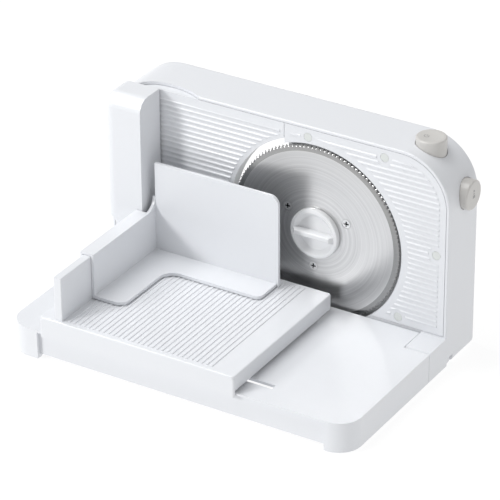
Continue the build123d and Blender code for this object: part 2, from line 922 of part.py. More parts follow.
def blade_carrier():
    """Flange behind the blade, with the hub that the lock knob grips."""
    hub = blade_bore_radius - seat_gap
    rear = carrier_front + carrier_thickness
    points = [(0, blade_dish), (hub, blade_dish), (hub, carrier_front),
              (carrier_radius, carrier_front), (carrier_radius, rear),
              (spindle_radius, rear), (spindle_radius, carrier_front + carrier_thickness / 2),
              (0, carrier_front + carrier_thickness / 2)]
    carrier = turned(points, 0, blade_height)
    carrier -= plate(disc(0, blade_height, lock_stem_radius + seat_gap), 0,
                     carrier_front - seat_gap)
    for angle in blade_screw_angles:
        across, up = on_circle(blade_screw_circle, angle)
        carrier -= plate(disc(across, up + blade_height, screw_shank_radius), 0, chassis_front)
    return carrier


def blade_spindle():
    """Steel spindle that joins the blade carrier to the worm wheel."""
    front = carrier_front + carrier_thickness / 2
    return plate(disc(0, blade_height, spindle_radius), front, spindle_length)


def lock_knob():
    """Quarter-turn knob that locks the blade: a dished disc with a grip bar across it."""
    radius = lock_knob_radius
    rear = blade_dish - seat_gap
    step = lock_edge_radius
    points = [(0, -lock_knob_front), (radius - step * 2, -lock_knob_front),
              (radius - step / 2, -lock_knob_front + step / 2), (radius, -lock_knob_front + step * 2),
              (radius, rear), (lock_stem_radius, rear), (lock_stem_radius, carrier_front - step / 2),
              (0, carrier_front - step / 2)]
    knob = turned(points, 0, blade_height)
    floor = lock_bowl_depth - lock_knob_front
    bowl = [(0, -lock_knob_front - overrun), (lock_bowl_radius, -lock_knob_front - overrun),
            (lock_bowl_radius, -lock_knob_front), (lock_bowl_radius * 0.8, floor), (0, floor)]
    knob -= turned(bowl, 0, blade_height)
    half = lock_bar_width / 2
    bar = block(-lock_bowl_radius, lock_bowl_radius, -lock_bar_front, floor,
                blade_height - half, blade_height + half)
    bar &= turned([(0, -lock_bar_front), (lock_bowl_radius * 0.85, -lock_bar_front),
                   (lock_bowl_radius, -lock_knob_front), (lock_bowl_radius, floor), (0, floor)],
                  0, blade_height)
    bar = fillet(bar.faces().sort_by(Axis.Y)[0].edges(), half / 2)
    return knob + bar


def worm_wheel():
    """Worm wheel with straight teeth, a thin web with holes, and a long hub."""
    outer = gear_radius + addendum_share * gear_module
    root = gear_radius - dedendum_share * gear_module
    points = []
    for index in range(gear_teeth):
        for radius, share in ((root, -tooth_root_share), (outer, -tooth_tip_share),
                              (outer, tooth_tip_share), (root, tooth_root_share)):
            angle = 2 * pi * (index + share) / gear_teeth
            points.append((radius * cos(angle), radius * sin(angle)))
    wheel = plate(make_face(Polyline(*points, close=True)), gear_front, gear_width)
    inner = root - gear_rim
    side = (gear_width - gear_web) / 2
    for front in (gear_front - overrun, gear_front + gear_width - side):
        wheel -= plate(disc(0, 0, inner) - disc(0, 0, gear_hub_radius), front, side + overrun)
    hub_front = chassis_front + front_bush_length + seam_gap
    hub_depth = cover_inside - rear_bush_length - seam_gap - hub_front
    wheel += plate(disc(0, 0, gear_hub_radius), hub_front, hub_depth)
    ring = (inner + gear_hub_radius) / 2
    for index in range(gear_window_count):
        across, up = on_circle(ring, 360 * index / gear_window_count)
        wheel -= plate(disc(across, up, gear_window_radius), gear_front, gear_width)
    wheel -= plate(disc(0, 0, spindle_radius), 0, housing_depth)
    return Pos(0, 0, blade_height) * Rotation(0, 90, 0) * wheel


worm_length = worm_pitch * worm_turns
start_switch_left = start_right - start_leg_offset - switch_length + lever_end
safety_switch_right = right_side - safety_guide_depth - flange_thickness - seam_gap - safety_travel
safety_switch_right -= leg_offset


def winding_bar(reach, radius, sides, lead, length, first):
    """Flat-sided bar whose middle winds round Z, at a reach from it, once in each lead."""
    count = ceil(abs(length / lead) * winding_steps)
    section = RegularPolygon(radius, sides)
    stations = []
    for index in range(count + 1):
        up = length * index / count
        across, along = on_circle(reach, first + 360 * up / lead)
        stations.append(Pos(across, along, up) * section)
    return loft(stations, ruled=True)


def worm_shaft():
    """Motor shaft with the one-start worm on its free end."""
    worm = winding_bar(worm_throw, worm_core_radius, worm_sides, worm_pitch, worm_length, 0)
    worm = Rotation(worm_phase, 0, 0) * (Rotation(0, 90, 0) * (Pos(0, 0, -worm_length / 2) * worm))
    worm = Pos(0, worm_rear, worm_height) * worm
    left = -worm_length / 2 - worm_bearing_gap - worm_bearing_length
    shaft = disc(worm_rear, worm_height, motor_shaft_radius)
    length = motor_start + motor_length + motor_cap_length / 2 - left
    collar = disc(worm_rear, worm_height, worm_collar_radius)
    shaft = side_slab(shaft, left, length)
    for start in (-worm_length / 2 - worm_collar_length, worm_length / 2):
        shaft += side_slab(collar, start + seat_gap, worm_collar_length - seat_gap * 2)
    return Part() + shaft + worm


def worm_bearing():
    """Plain bearing at the free end of the worm."""
    left = -worm_length / 2 - worm_bearing_gap - worm_bearing_length
    ring = disc(worm_rear, worm_height, worm_bearing_radius)
    ring -= disc(worm_rear, worm_height, motor_shaft_radius + shaft_gap)
    return side_slab(ring, left, worm_bearing_length)


def turned_side(points):
    """Turn a profile of distance and radius about the motor's axis."""
    profile = make_face(Polyline(*points, close=True))
    return Pos(0, worm_rear, worm_height) * revolve(profile, Axis.X)


def motor():
    """Direct-current motor can with its nose bearing."""
    left = motor_start
    right = motor_start + motor_length
    inner = motor_radius - can_wall
    bore = motor_shaft_radius + shaft_gap
    return turned_side([(left - motor_nose_length, bore), (left - motor_nose_length, motor_nose_radius),
                        (left, motor_nose_radius), (left, motor_radius - motor_cap_step),
                        (left + motor_cap_step, motor_radius), (right, motor_radius),
                        (right, inner), (left + can_wall, inner), (left + can_wall, bore)])


def motor_armature():
    """Laminated armature with its windings and commutator, pressed on the shaft."""
    left = armature_start
    right = left + armature_length
    shape = disc(worm_rear, worm_height, armature_radius)
    slot = rectangle(armature_radius - armature_slot_depth, armature_radius + overrun,
                     -armature_slot_width / 2, armature_slot_width / 2)
    for index in range(armature_slots):
        turn = Rotation(0, 0, 360 * index / armature_slots)
        shape -= Pos(worm_rear, worm_height) * (turn * slot)
    body = side_slab(shape, left, armature_length)
    inner = motor_shaft_radius
    body += turned_side([(left - winding_length, inner), (left - winding_length, winding_radius),
                         (right + winding_length, winding_radius),
                         (right + winding_length, commutator_radius),
                         (commutator_start + commutator_length, commutator_radius),
                         (commutator_start + commutator_length, inner)])
    return body - side_slab(disc(worm_rear, worm_height, inner), 0, right_side)


def motor_magnets():
    """Two curved magnets inside the motor can."""
    inner = magnet_inner
    outer = motor_radius - can_wall
    ring = Circle(outer) - Circle(inner)
    half = outer * sin(radians(magnet_angle / 2))
    magnets = []
    for direction in (0, 180):
        wedge = make_face(Polyline((0, 0), (outer, -outer * 2 * half / outer), (outer * 2, 0),
                                   (outer, outer * 2 * half / outer), close=True))
        shape = Pos(worm_rear, worm_height) * (Rotation(0, 0, direction) * (ring & wedge))
        magnets.append(side_slab(shape, armature_start, armature_length))
    return joined(magnets)


def motor_brushes():
    """Two carbon brushes on the commutator."""
    low = commutator_radius + shaft_gap * 2
    half = brush_width / 2
    middle = commutator_start + commutator_length / 2
    brushes = []
    for direction in (-1, 1):
        ends = sorted((worm_height + direction * low, worm_height + direction * brush_reach))
        brushes.append(block(middle - half, middle + half, worm_rear - half, worm_rear + half,
                             ends[0], ends[1]))
    return joined(brushes)


def motor_end_cap():
    """Brush-side end cap of the motor, with its brush holders and two terminals."""
    left = motor_start + motor_length
    right = left + motor_cap_length
    bore = motor_shaft_radius + shaft_gap
    depth = motor_cap_length * 0.7
    cap = turned_side([(left, bore), (left, motor_radius - motor_cap_step),
                       (right, motor_radius - motor_cap_step), (right, 0), (left + depth, 0),
                       (left + depth, bore)])
    half = brush_holder_width / 2
    start = commutator_start + commutator_length / 2 + brush_width / 2
    for direction in (-1, 1):
        low = worm_height + direction * (commutator_radius + overrun)
        high = worm_height + direction * brush_reach
        cap += block(start, left + overrun, worm_rear - half, worm_rear + half, min(low, high),
                     max(low, high))
        middle = worm_height + direction * terminal_spread
        cap += block(right - overrun, right + terminal_length, worm_rear - terminal_width / 2,
                     worm_rear + terminal_width / 2, middle - terminal_thickness / 2,
                     middle + terminal_thickness / 2)
    return cap


def motor_strap():
    """Steel strap that holds the motor in its cradle."""
    inner = motor_radius
    outer = inner + strap_thickness
    ring = disc(worm_rear, worm_height, outer) - disc(worm_rear, worm_height, inner)
    ring &= rectangle(worm_rear, housing_depth, 0, housing_height)
    for direction in (-1, 1):
        ends = sorted((worm_height + direction * (inner + seat_gap),
                       worm_height + direction * (motor_radius + strap_lug)))
        ring += rectangle(worm_rear - strap_thickness, worm_rear, ends[0], ends[1])
    strap = side_slab(ring, strap_place, strap_width)
    for direction in (-1, 1):
        middle = worm_height + direction * (motor_radius + strap_lug / 2)
        strap -= plate(disc(strap_place + strap_width / 2, middle, screw_shank_radius),
                       0, housing_depth)
    return strap


def motor_screws():
    """Two screws of the motor strap."""
    screw = plain_screw(screw_head_radius, screw_head_height, motor_screw_length)
    screw = Rotation(0, 0, 180) * screw
    places = []
    for direction in (-1, 1):
        up = worm_height + direction * (motor_radius + strap_lug / 2)
        places.append(Pos(strap_place + strap_width / 2, worm_rear + screw_head_height, up))
    return joined(place * screw for place in places)


def bush(front, length):
    """Bronze bush on the blade's axis."""
    return tube_y(0, blade_height, bush_radius, spindle_radius + shaft_gap, front, length)


def fence_outline(inset):
    """Fence left of the blade, from the front, drawn in by an inset."""
    shape = housing_outline(wall + seam_gap + inset)
    shape &= rectangle(left_side, -fence_right - inset, fence_bottom + inset, housing_height)
    return shape - disc(fence_arc_right, blade_height + fence_arc_up, fence_arc_radius + inset)


def fence_plate():
    """Ribbed fence that sets the slice thickness, with a stiffening flange behind it."""
    fence = plate(fence_outline(0), 0, fence_thickness)
    flange = fence_outline(0) - fence_outline(fence_flange_wall)
    fence += plate(flange, 0, fence_thickness + fence_flange)
    return fence + face_ribs(fence_outline(fence_rib_margin))


def fence_carrier():
    """Bracket behind the fence with the nut of the thickness screw and two guide sleeves."""
    front = fence_thickness
    low, high = rod_places()
    shape = rectangle(-knob_left - carrier_half_width, -knob_left + carrier_half_width,
                      low - carrier_margin, high + carrier_margin)
    shape = fillet(shape.vertices(), carrier_margin / 2)
    carrier = plate(shape, front, carrier_plate)
    nut_bore = screw_thread_radius + nut_gap
    carrier += plate(disc(-knob_left, knob_height, nut_bore + nut_wall), front, nut_rear - front)
    for up in (low, high):
        radius = rod_radius + sleeve_wall
        carrier += plate(disc(-knob_left, up, radius), front, sleeve_rear - front)
        carrier -= plate(disc(-knob_left, up, rod_radius + shaft_gap), 0, housing_depth)
    carrier -= plate(disc(-knob_left, knob_height, nut_bore), 0, housing_depth)
    pin = Pos(-knob_left, pin_place) * Circle(pin_radius)
    pin_low = knob_height + screw_groove_floor + pin_gap
    carrier += slab(pin, pin_low, nut_bore + nut_wall - screw_groove_floor - pin_gap)
    for across, up in fence_screw_places():
        carrier -= plate(disc(across, up, screw_shank_radius), 0, front + carrier_plate + overrun)
    return carrier


def fence_screw_places():
    """Corners of the carrier's plate, on X and Z."""
    low, high = rod_places()
    half = carrier_half_width - fence_screw_inset
    rise = carrier_margin - fence_screw_inset
    return [(-knob_left + side * half, up) for side in (-1, 1) for up in (low - rise, high + rise)]


def fence_screws():
    """Four screws that hold the carrier to the fence."""
    length = carrier_plate + screw_head_height
    screw = plain_screw(screw_head_radius, screw_head_height, length)
    screw = Rotation(0, 0, 180) * screw
    rear = fence_thickness + carrier_plate + screw_head_height
    return joined(Pos(across, rear, up) * screw for across, up in fence_screw_places())


def guide_rods():
    """Two steel rods that guide the fence."""
    depth = cover_inside - rod_front
    return joined(plate(disc(-knob_left, up, rod_radius), rod_front, depth) for up in rod_places())


def thickness_screw():
    """Steep screw that moves the fence, with the shaft that carries its knob."""
    length = screw_rear - rod_front
    core = extrude(RegularPolygon(screw_thread_radius, core_sides), amount=length)
    reach = screw_groove_floor + screw_groove_radius
    first = 90 + 360 * (pin_place - rod_front) / screw_lead
    first += 360 * overrun / screw_lead
    groove = winding_bar(reach, screw_groove_radius, groove_sides, -screw_lead,
                         length + overrun * 2, first)
    screw = core - Pos(0, 0, -overrun) * groove
    screw = Rotation(-90, 0, 0) * (Rotation(0, 0, 180) * screw)
    screw = Pos(-knob_left, rod_front, knob_height) * screw
    rear = housing_depth + thickness_knob_depth / 2
    shaft = plate(disc(-knob_left, knob_height, spindle_radius), screw_rear, rear - screw_rear)
    return Part() + screw + shaft


def screw_clip():
    """Spring clip that keeps the thickness screw in its boss."""
    front = knob_boss_front - clip_thickness - seat_gap
    ring = disc(-knob_left, knob_height, spindle_radius + clip_width)
    ring -= disc(-knob_left, knob_height, spindle_radius)
    mouth = rectangle(-knob_left - spindle_radius / 2, -knob_left + spindle_radius / 2,
                      knob_height - spindle_radius * 2, knob_height)
    return plate(ring - mouth, front, clip_thickness)


def thickness_knob():
    """Fluted knob on the rear that sets the slice thickness."""
    front = housing_depth + slide_gap
    rear = housing_depth + thickness_knob_depth
    shape = disc(0, 0, thickness_knob_radius)
    for index in range(knob_flute_count):
        reach = thickness_knob_radius + knob_flute_radius - knob_flute_bite
        across, up = on_circle(reach, 360 * (index + 0.5) / knob_flute_count)
        shape -= disc(across, up, knob_flute_radius)
    knob = plate(shape, front, rear - front)
    crown = thickness_knob_radius - knob_flute_bite * 2
    cone = [(0, front), (thickness_knob_radius + overrun, front),
            (thickness_knob_radius + overrun, rear - knob_flute_bite * 3), (crown, rear), (0, rear)]
    knob &= turned(cone, 0, 0)
    knob -= turned([(0, rear - knob_dish_depth), (knob_dish_radius, rear),
                    (knob_dish_radius, rear + overrun), (0, rear + overrun)], 0, 0)
    pointer = rectangle(-knob_pointer_width / 2, knob_pointer_width / 2, knob_dish_radius / 3,
                        crown)
    knob += plate(pointer, rear - knob_dish_depth, knob_dish_depth + press_gap)
    knob -= plate(disc(0, 0, spindle_radius), 0, housing_depth + thickness_knob_depth / 2)
    return Pos(-knob_left, 0, knob_height) * knob


def start_button():
    """Round start button in the top of the housing, hollow, with a leg for its switch."""
    low = start_guide_bottom - flange_thickness - seam_gap
    body = slab(Circle(button_radius), low, start_top - low)
    body = fillet(body.edges().group_by(Axis.Z)[-1], button_edge)
    body += slab(Circle(button_hole + flange_width), low, flange_thickness)
    roof = start_top - button_wall
    rim = button_radius - button_rim
    ball = (rim * rim / button_dish + button_dish) / 2
    body -= Pos(0, 0, start_top - button_dish + ball) * Sphere(ball)
    body -= slab(Circle(button_radius - button_wall), low - overrun, roof - low + overrun)
    leg_low = shelf_height - shelf_thickness + press_gap
    leg = block(-start_leg_offset - leg_width / 2, -start_leg_offset + leg_width / 2,
                -leg_width / 2, leg_width / 2, leg_low, roof + overrun)
    return Pos(start_right, start_rear, 0) * (body + leg)


def start_spring():
    """Coil spring under the start button."""
    bottom = shelf_height + spring_wire / 2 + seat_gap
    top = start_top - button_wall - spring_wire / 2 - seat_gap
    path = Helix(pitch=(top - bottom) / spring_turns, height=top - bottom, radius=spring_radius)
    section = Plane(path @ 0, z_dir=path % 0) * RegularPolygon(spring_wire / 2, 6)
    return Pos(start_right, start_rear, bottom) * sweep(section, path=path)


def safety_button():
    """Round safety button in the right side of the housing."""
    face = right_side + safety_face
    left = right_side - safety_guide_depth - flange_thickness - seam_gap
    centre = disc(safety_rear, safety_height, button_radius)
    body = side_slab(centre, left, face - left)
    body = fillet(body.edges().group_by(Axis.X)[-1], button_edge)
    body += side_slab(disc(safety_rear, safety_height, button_hole + flange_width), left,
                      flange_thickness)
    inner = disc(safety_rear, safety_height, button_radius - button_wall)
    body -= side_slab(inner, left - overrun, face - button_wall - left + overrun)
    leg_left = left - leg_offset + switch_lever + press_gap
    return body + block(leg_left, face - overrun, safety_rear - leg_width / 2,
                        safety_rear + leg_width / 2, safety_height - leg_width / 2,
                        safety_height + leg_width / 2)


def switch(length_high):
    """Small switch with a lever, its body from the origin, the lever above it."""
    body = block(0, switch_length, -switch_width / 2, switch_width / 2, -switch_height, 0)
    for across in (switch_length / 8, switch_length * 7 / 8):
        body -= plate(disc(across, -switch_height * 3 / 4, switch_hole_radius), -switch_width,
                      switch_width * 2)
    lever = block(length_high, switch_length - length_high, -switch_width / 4, switch_width / 4,
                  switch_lever - switch_lever_thickness, switch_lever)
    post = block(length_high, length_high * 2, -switch_width / 4, switch_width / 4, -overrun,
                 switch_lever)
    return body + lever + post


def start_switch():
    """Switch under the start button."""
    return Pos(start_switch_left, start_rear, switch_top) * switch(overrun)


def safety_switch():
    """Switch behind the safety button."""
    turned_switch = Rotation(0, 90, 0) * switch(overrun)
    return Pos(safety_switch_right, safety_rear, safety_height + leg_offset) * turned_switch


def circuit_board():
    """Small circuit board with a rectifier and a suppression capacitor."""
    front = chassis_rear + standoff
    board = plate(rectangle(board_left, board_left + board_width, board_bottom,
                            board_bottom + board_height), front, board_thickness)
    rear = front + board_thickness
    middle = board_left + board_width / 2
    up = board_bottom + board_height / 2
    board += block(middle - rectifier_side, middle, rear, rear + rectifier_depth,
                   up - rectifier_side / 2, up + rectifier_side / 2)
    return board + plate(disc(middle + capacitor_radius * 1.6, up, capacitor_radius), rear,
                         capacitor_length)


def cord_gland():
    """Rubber gland in the rear cover where the supply cord enters."""
    outer = gland_bore + gland_wall
    inside = gland_flange_depth * 2
    points = [(gland_bore, shell_depth - inside), (outer - seat_gap, shell_depth - inside),
              (outer - seat_gap, housing_depth),
              (outer + gland_flange, housing_depth),
              (outer + gland_flange, housing_depth + gland_flange_depth),
              (outer - gland_wall / 3, housing_depth + gland_length),
              (gland_bore, housing_depth + gland_length)]
    return turned(points, gland_right, gland_height)


def housing_foot_places():
    """X of the two feet under the housing."""
    return (left_side + housing_foot_inset, right_side - housing_foot_inset)


def base_foot_places():
    """X and Y of the four feet under the base platform."""
    lefts = (left_side + base_foot_inset, right_side - base_foot_inset)
    return [(across, rear) for across in lefts
            for rear in (-base_front + base_foot_inset, -base_foot_rear)]


def foot(stub_length):
    """Rubber foot, its stub upwards from the underside."""
    points = [(0, -foot_drop), (foot_radius - foot_drop / 2, -foot_drop),
              (foot_radius, -foot_drop / 2), (foot_radius, -seat_gap / 2),
              (foot_stub_radius, -seat_gap / 2), (foot_stub_radius, stub_length),
              (0, stub_length)]
    shape = make_face(Plane.XZ * Polyline(*points, close=True))
    return revolve(shape, Axis.Z)


def housing_feet():
    """Two rubber feet under the housing's rear."""
    return joined(Pos(across, housing_foot_rear, 0) * foot(foot_stub_length)
                  for across in housing_foot_places())


def base_feet():
    """Four rubber feet under the base platform."""
    return joined(Pos(across, rear, 0) * foot(foot_stub_length)
                  for across, rear in base_foot_places())


def base_outline(inset):
    """Base platform from above, with rounded front corners and notches for the ears."""
    shape = rectangle(left_side + inset, right_side - inset, -base_front + inset,
                      -base_rear - inset)
    shape = fillet(shape.vertices().group_by(Axis.Y)[0], base_corner - inset)
    notch = ear_width + ear_gap + inset
    front = -ear_reach - ear_gap - inset
    shape -= rectangle(left_side - overrun, left_side + notch, front, 0)
    return shape - rectangle(right_side - notch, right_side + overrun, front, 0)


def base_platform():
    """Moulded base platform: top with a lip, set-back front band, corner posts and ribs."""
    base = slab(base_outline(0), 0, base_height)
    band_left = left_side + base_post + base_setback * 2
    band_right = right_side - base_post
    under_lip = base_height - base_lip
    setback = -base_front + base_setback
    base -= block(band_left, band_right, -base_front - overrun, setback, -overrun, under_lip)
    cavity = base_outline(base_wall) & rectangle(left_side, right_side, setback + base_wall, 0)
    base -= slab(cavity, -overrun, base_height - base_top + overrun)
    base -= block(band_left, band_right, -base_front - overrun, setback + base_wall, -overrun,
                  base_band_bottom)
    rib_low = base_height - base_top - base_rib_height
    for share in (0.2, 0.4, 0.6, 0.8):
        across = left_side + body_width * share
        base += block(across, across + base_rib, setback, -base_rear - base_wall, rib_low,
                      base_height - base_top)
    for share in (0.3, 0.6):
        rear = -base_front * share
        base += block(left_side + base_wall, right_side - base_wall, rear, rear + base_rib, rib_low,
                      base_height - base_top)
    for across, rear in base_foot_places():
        post = Pos(across, rear) * Circle(foot_post_radius)
        base += slab(post, 0, base_height - base_top)
    for left in (left_side + ear_width + ear_gap,
                 right_side - ear_width - ear_gap - knuckle_length):
        knuckle = disc(-pivot_front, pivot_height, knuckle_radius)
        knuckle &= rectangle(-base_front, 0, 0, base_height - base_top)
        knuckle += rectangle(-pivot_front - base_rib, -pivot_front + base_rib, pivot_height,
                             base_height - base_top)
        base += side_slab(knuckle, left, knuckle_length)
    bore = disc(-pivot_front, pivot_height, pivot_radius + shaft_gap)
    for left in (left_side + ear_width, right_side - ear_width - pivot_length):
        base -= side_slab(bore, left, pivot_length)
    base -= runner_slot()
    for across, rear in base_foot_places():
        stub = Pos(across, rear) * Circle(foot_stub_radius)
        base -= slab(stub, -overrun, foot_stub_length + overrun)
    return base


def runner_slot():
    """Slot in the platform that the runner travels in, with room for its retainer below."""
    left = -runner_left - travel_left - runner_play
    right = -runner_left + runner_length + travel_right + runner_play
    shape = rectangle(left, right, -slot_front - slot_half_width, -slot_front + slot_half_width)
    slot = slab(shape, base_height - base_top - overrun, base_top + overrun * 2)
    half = retainer_half_width + slide_gap
    low = base_height - base_top - retainer_thickness - slide_gap - screw_head_height
    room = rectangle(left - overrun, right + overrun, -slot_front - half, -slot_front + half)
    return slot + slab(room, low - overrun, base_height - base_top - low + overrun)


def hinge_pins():
    """Two steel pins on the fold axis."""
    shape = disc(-pivot_front, pivot_height, pivot_radius)
    length = ear_width - pivot_skin + knuckle_length
    left = left_side + pivot_skin
    right = right_side - pivot_skin - length
    return joined(side_slab(shape, start, length) for start in (left, right))


def runner_ends():
    """Left and right end of the runner."""
    return -runner_left, -runner_left + runner_length


def carriage_runner():
    """Runner that slides in the platform's slot and drives the carriage."""
    left, right = runner_ends()
    top = block(left, right, -slot_front - runner_half_width, -slot_front + runner_half_width,
                base_height + runner_play, runner_top)
    top = fillet(top.edges().filter_by(Axis.Z), runner_half_width / 3)
    web_half = slot_half_width - runner_play
    web = block(left, right, -slot_front - web_half, -slot_front + web_half,
                base_height - base_top - runner_play, base_height + runner_play)
    runner = top + web
    for across in runner_screw_places():
        hole = Pos(across, -slot_front) * Circle(screw_shank_radius)
        runner -= slab(hole, base_height - base_top - overrun, screw_head_height * 3)
    return runner


def runner_screw_places():
    """X of the two screws of the runner."""
    left, right = runner_ends()
    return (left + runner_screw_inset, right - runner_screw_inset)


def runner_retainer():
    """Strip under the platform that keeps the runner in its slot."""
    left, right = runner_ends()
    top = base_height - base_top - runner_play
    strip = block(left, right, -slot_front - retainer_half_width, -slot_front + retainer_half_width,
                  top - retainer_thickness, top)
    for across in runner_screw_places():
        hole = Pos(across, -slot_front) * Circle(screw_shank_radius)
        strip -= slab(hole, top - retainer_thickness - overrun, retainer_thickness + overrun * 2)
    return strip


def runner_screws():
    """Two screws that join the retainer to the runner."""
    top = base_height - base_top - runner_play - retainer_thickness
    screw = plain_screw(screw_head_radius, screw_head_height,
                        screw_head_height + retainer_thickness + screw_head_height)
    screw = Rotation(90, 0, 0) * screw
    return joined(Pos(across, -slot_front, top - screw_head_height) * screw
                  for across in runner_screw_places())


def tray_outline(inset):
    """Carriage tray from above."""
    shape = rectangle(-tray_left + inset, -tray_right_side() - inset, -tray_front + inset,
                      -tray_rear - inset)
    return fillet(shape.vertices(), tray_corner - inset / 2)


def tray_right_side():
    """Distance of the tray's right side to the left of the blade's axis."""
    return -tray_right


def carriage_tray():
    """Ribbed carriage tray with its skirts, drive ribs and the upright wall on its left."""
    tray = slab(tray_outline(0), side_skirt_bottom, tray_top - side_skirt_bottom)
    tray = fillet(tray.faces().sort_by(Axis.Z)[-1].edges(), tray_edge)
    tray -= slab(tray_outline(tray_skirt), side_skirt_bottom - overrun,
                 tray_under - side_skirt_bottom + overrun)
    tray -= block(-tray_left + tray_skirt, tray_right - tray_skirt, -tray_rear - tray_skirt * 2,
                  0, side_skirt_bottom - overrun, tray_under)
    apron = block(-tray_left + tray_corner, tray_right - tray_corner, -tray_front,
                  -tray_front + tray_skirt, front_skirt_bottom, tray_under)
    ends = block(-tray_left, tray_right, -tray_front, -tray_front + tray_skirt,
                 front_skirt_bottom, tray_under)
    tray += apron + fillet(ends.edges().filter_by(Axis.Z).group_by(Axis.Y)[0], tray_skirt * 0.9)
    ribs = Plane((0, -tray_rear - tray_rib_margin, tray_top), x_dir=(1, 0, 0), z_dir=(0, -1, 0))
    comb = rib_comb(-tray_rib_left, -tray_rib_right, rib_sink, rib_base, rib_crest)
    length = tray_front - tray_rear - tray_rib_margin * 2
    tray += extrude(ribs * comb, amount=length)
    left, right = runner_ends()
    for start in (left - slide_gap - drive_rib, right + slide_gap):
        tray += block(start, start + drive_rib, -tray_front + tray_skirt,
                      -tray_rear - tray_skirt * 2, drive_rib_bottom, tray_under)
    for across, rear in guard_screw_places():
        tray -= slab(disc(across, rear, screw_shank_radius), tray_under - overrun,
                     tray_thickness + overrun * 2)
    return tray + carriage_wall()


def carriage_wall():
    """Upright wall that the pusher rides on, hollow from below."""
    front = -tray_front + wall_front_step
    rise = block(-wall_left, -wall_right, front, -wall_rear, tray_under, wall_top)
    edges = rise.edges().filter_by(Axis.Y).group_by(Axis.Z)[-1]
    rise = fillet(edges + rise.edges().filter_by(Axis.Z).group_by(Axis.Y)[0], wall_edge)
    inset = (wall_left - wall_right - wall_core) / 2
    core = block(-wall_left + inset, -wall_right - inset, front + inset, -wall_rear - inset,
                 tray_under - overrun, wall_top - inset)
    return rise - core


def guard_outline(inset):
    """Thumb guard from the front, with its narrow foot beside the carriage wall."""
    left = -guard_left + inset
    right = -guard_right - inset
    foot_left = -guard_foot_left + inset
    low = tray_top + slide_gap
    shape = make_face(Polyline((foot_left, low + inset), (right, low + inset),
                               (right, guard_top - inset), (left, guard_top - inset),
                               (left, guard_flare_height), (foot_left, guard_flare_low),
                               close=True))
    corners = shape.vertices().sort_by(Axis.X)[:2]
    return fillet(corners, guard_side_radius - inset)


def guard_screw_places():
    """X and Y of the two screws that hold the guard to the tray."""
    across = -(guard_foot_left + guard_right) / 2
    middle = -(guard_front + guard_rear) / 2
    return [(across, middle + side * guard_screw_spread / 2) for side in (-1, 1)]


def thumb_guard():
    """Hollow thumb guard, open at the back, with a rounded brow."""
    depth = guard_front - guard_rear
    shape = guard_outline(0)
    guard = plate(shape, -guard_front, depth)
    brow = guard.edges().filter_by(Axis.X).group_by(Axis.Z)[-1].sort_by(Axis.Y)[0]
    guard = fillet(brow, guard_brow_radius)
    hollow = plate(guard_outline(guard_shell), -guard_front + guard_shell, depth)
    brow = hollow.edges().filter_by(Axis.X).group_by(Axis.Z)[-1].sort_by(Axis.Y)[0]
    hollow = fillet(brow, guard_brow_radius - guard_shell)
    guard -= hollow
    low = tray_top + slide_gap
    for across, rear in guard_screw_places():
        guard += slab(disc(across, rear, guard_boss_radius), low, guard_boss_height)
        guard -= slab(disc(across, rear, screw_shank_radius), low - overrun, guard_boss_height)
    return guard


def pusher():
    """Food pusher: upright plate, foot flange and the saddle that rides on the wall."""
    skin_left = -pusher_left - pusher_skin
    plate_rear = -pusher_plate_front + pusher_plate_thickness
    upright = rectangle(-pusher_left, -pusher_plate_right, pusher_low, pusher_plate_top)
    upright = fillet(upright.vertices().group_by(Axis.Y)[-1].sort_by(Axis.X)[-1],
                     pusher_plate_corner)
    body = plate(upright, -pusher_plate_front, pusher_plate_thickness)
    side = rectangle(-pusher_front, plate_rear, pusher_low, pusher_strip_top)
    gusset_top = pusher_strip_top + pusher_gusset_radius
    gusset = rectangle(-pusher_plate_front - pusher_gusset_radius, plate_rear,
                       pusher_strip_top, gusset_top)
    gusset -= disc(-pusher_plate_front - pusher_gusset_radius, gusset_top, pusher_gusset_radius)
    body += side_slab(side + gusset, skin_left, pusher_skin)
    strip_low = pusher_strip_top - pusher_strip_thickness
    strip_rear = -guard_front - slide_gap
    body += block(-pusher_strip_left, skin_left, -pusher_front, strip_rear, strip_low,
                  pusher_strip_top)
    body += block(-pusher_strip_left, -pusher_strip_left + pusher_strip_thickness, -pusher_front,
                  strip_rear, pusher_strip_top - pusher_lip_drop, pusher_strip_top)
    body += slab(flange_outline(), pusher_low, pusher_flange)
    return body + grips(plate_rear)


def flange_outline():
    """Foot flange of the pusher from above: an arm along the wall and a strip at the plate."""
    arm = rectangle(-pusher_left - pusher_skin, -flange_arm_right, -pusher_front, -pusher_plate_front)
    strip = rectangle(-pusher_left, -flange_right, -flange_front, -pusher_plate_front)
    shape = arm + strip
    arm_corner = shape.vertices().group_by(Axis.Y)[0].sort_by(Axis.X)[-1]
    shape = fillet(arm_corner, flange_arm_corner)
    strip_corner = shape.vertices().sort_by(Axis.X)[-2:].sort_by(Axis.Y)[0]
    shape = fillet(strip_corner, flange_corner)
    inner = shape.vertices().sort_by_distance((-flange_arm_right, -flange_front))[0]
    return fillet(inner, flange_inner_radius)


def grips(front):
    """Upright ridges with a sharp crest behind the pusher's plate, which hold the food."""
    first = -pusher_left + grip_margin
    count = int((pusher_left - pusher_plate_right - grip_margin * 2) / grip_pitch)
    points = [(first, front - seat_gap)]
    for index in range(count):
        left = first + index * grip_pitch
        points.append((left, front))
        points.append((left + grip_width / 2, front + grip_height))
        points.append((left + grip_width, front))
    points.append((first + count * grip_pitch, front))
    points.append((first + count * grip_pitch, front - seat_gap))
    comb = make_face(Polyline(*points, close=True))
    low = pusher_low + grip_margin
    return slab(comb, low, pusher_plate_top - grip_margin - low)


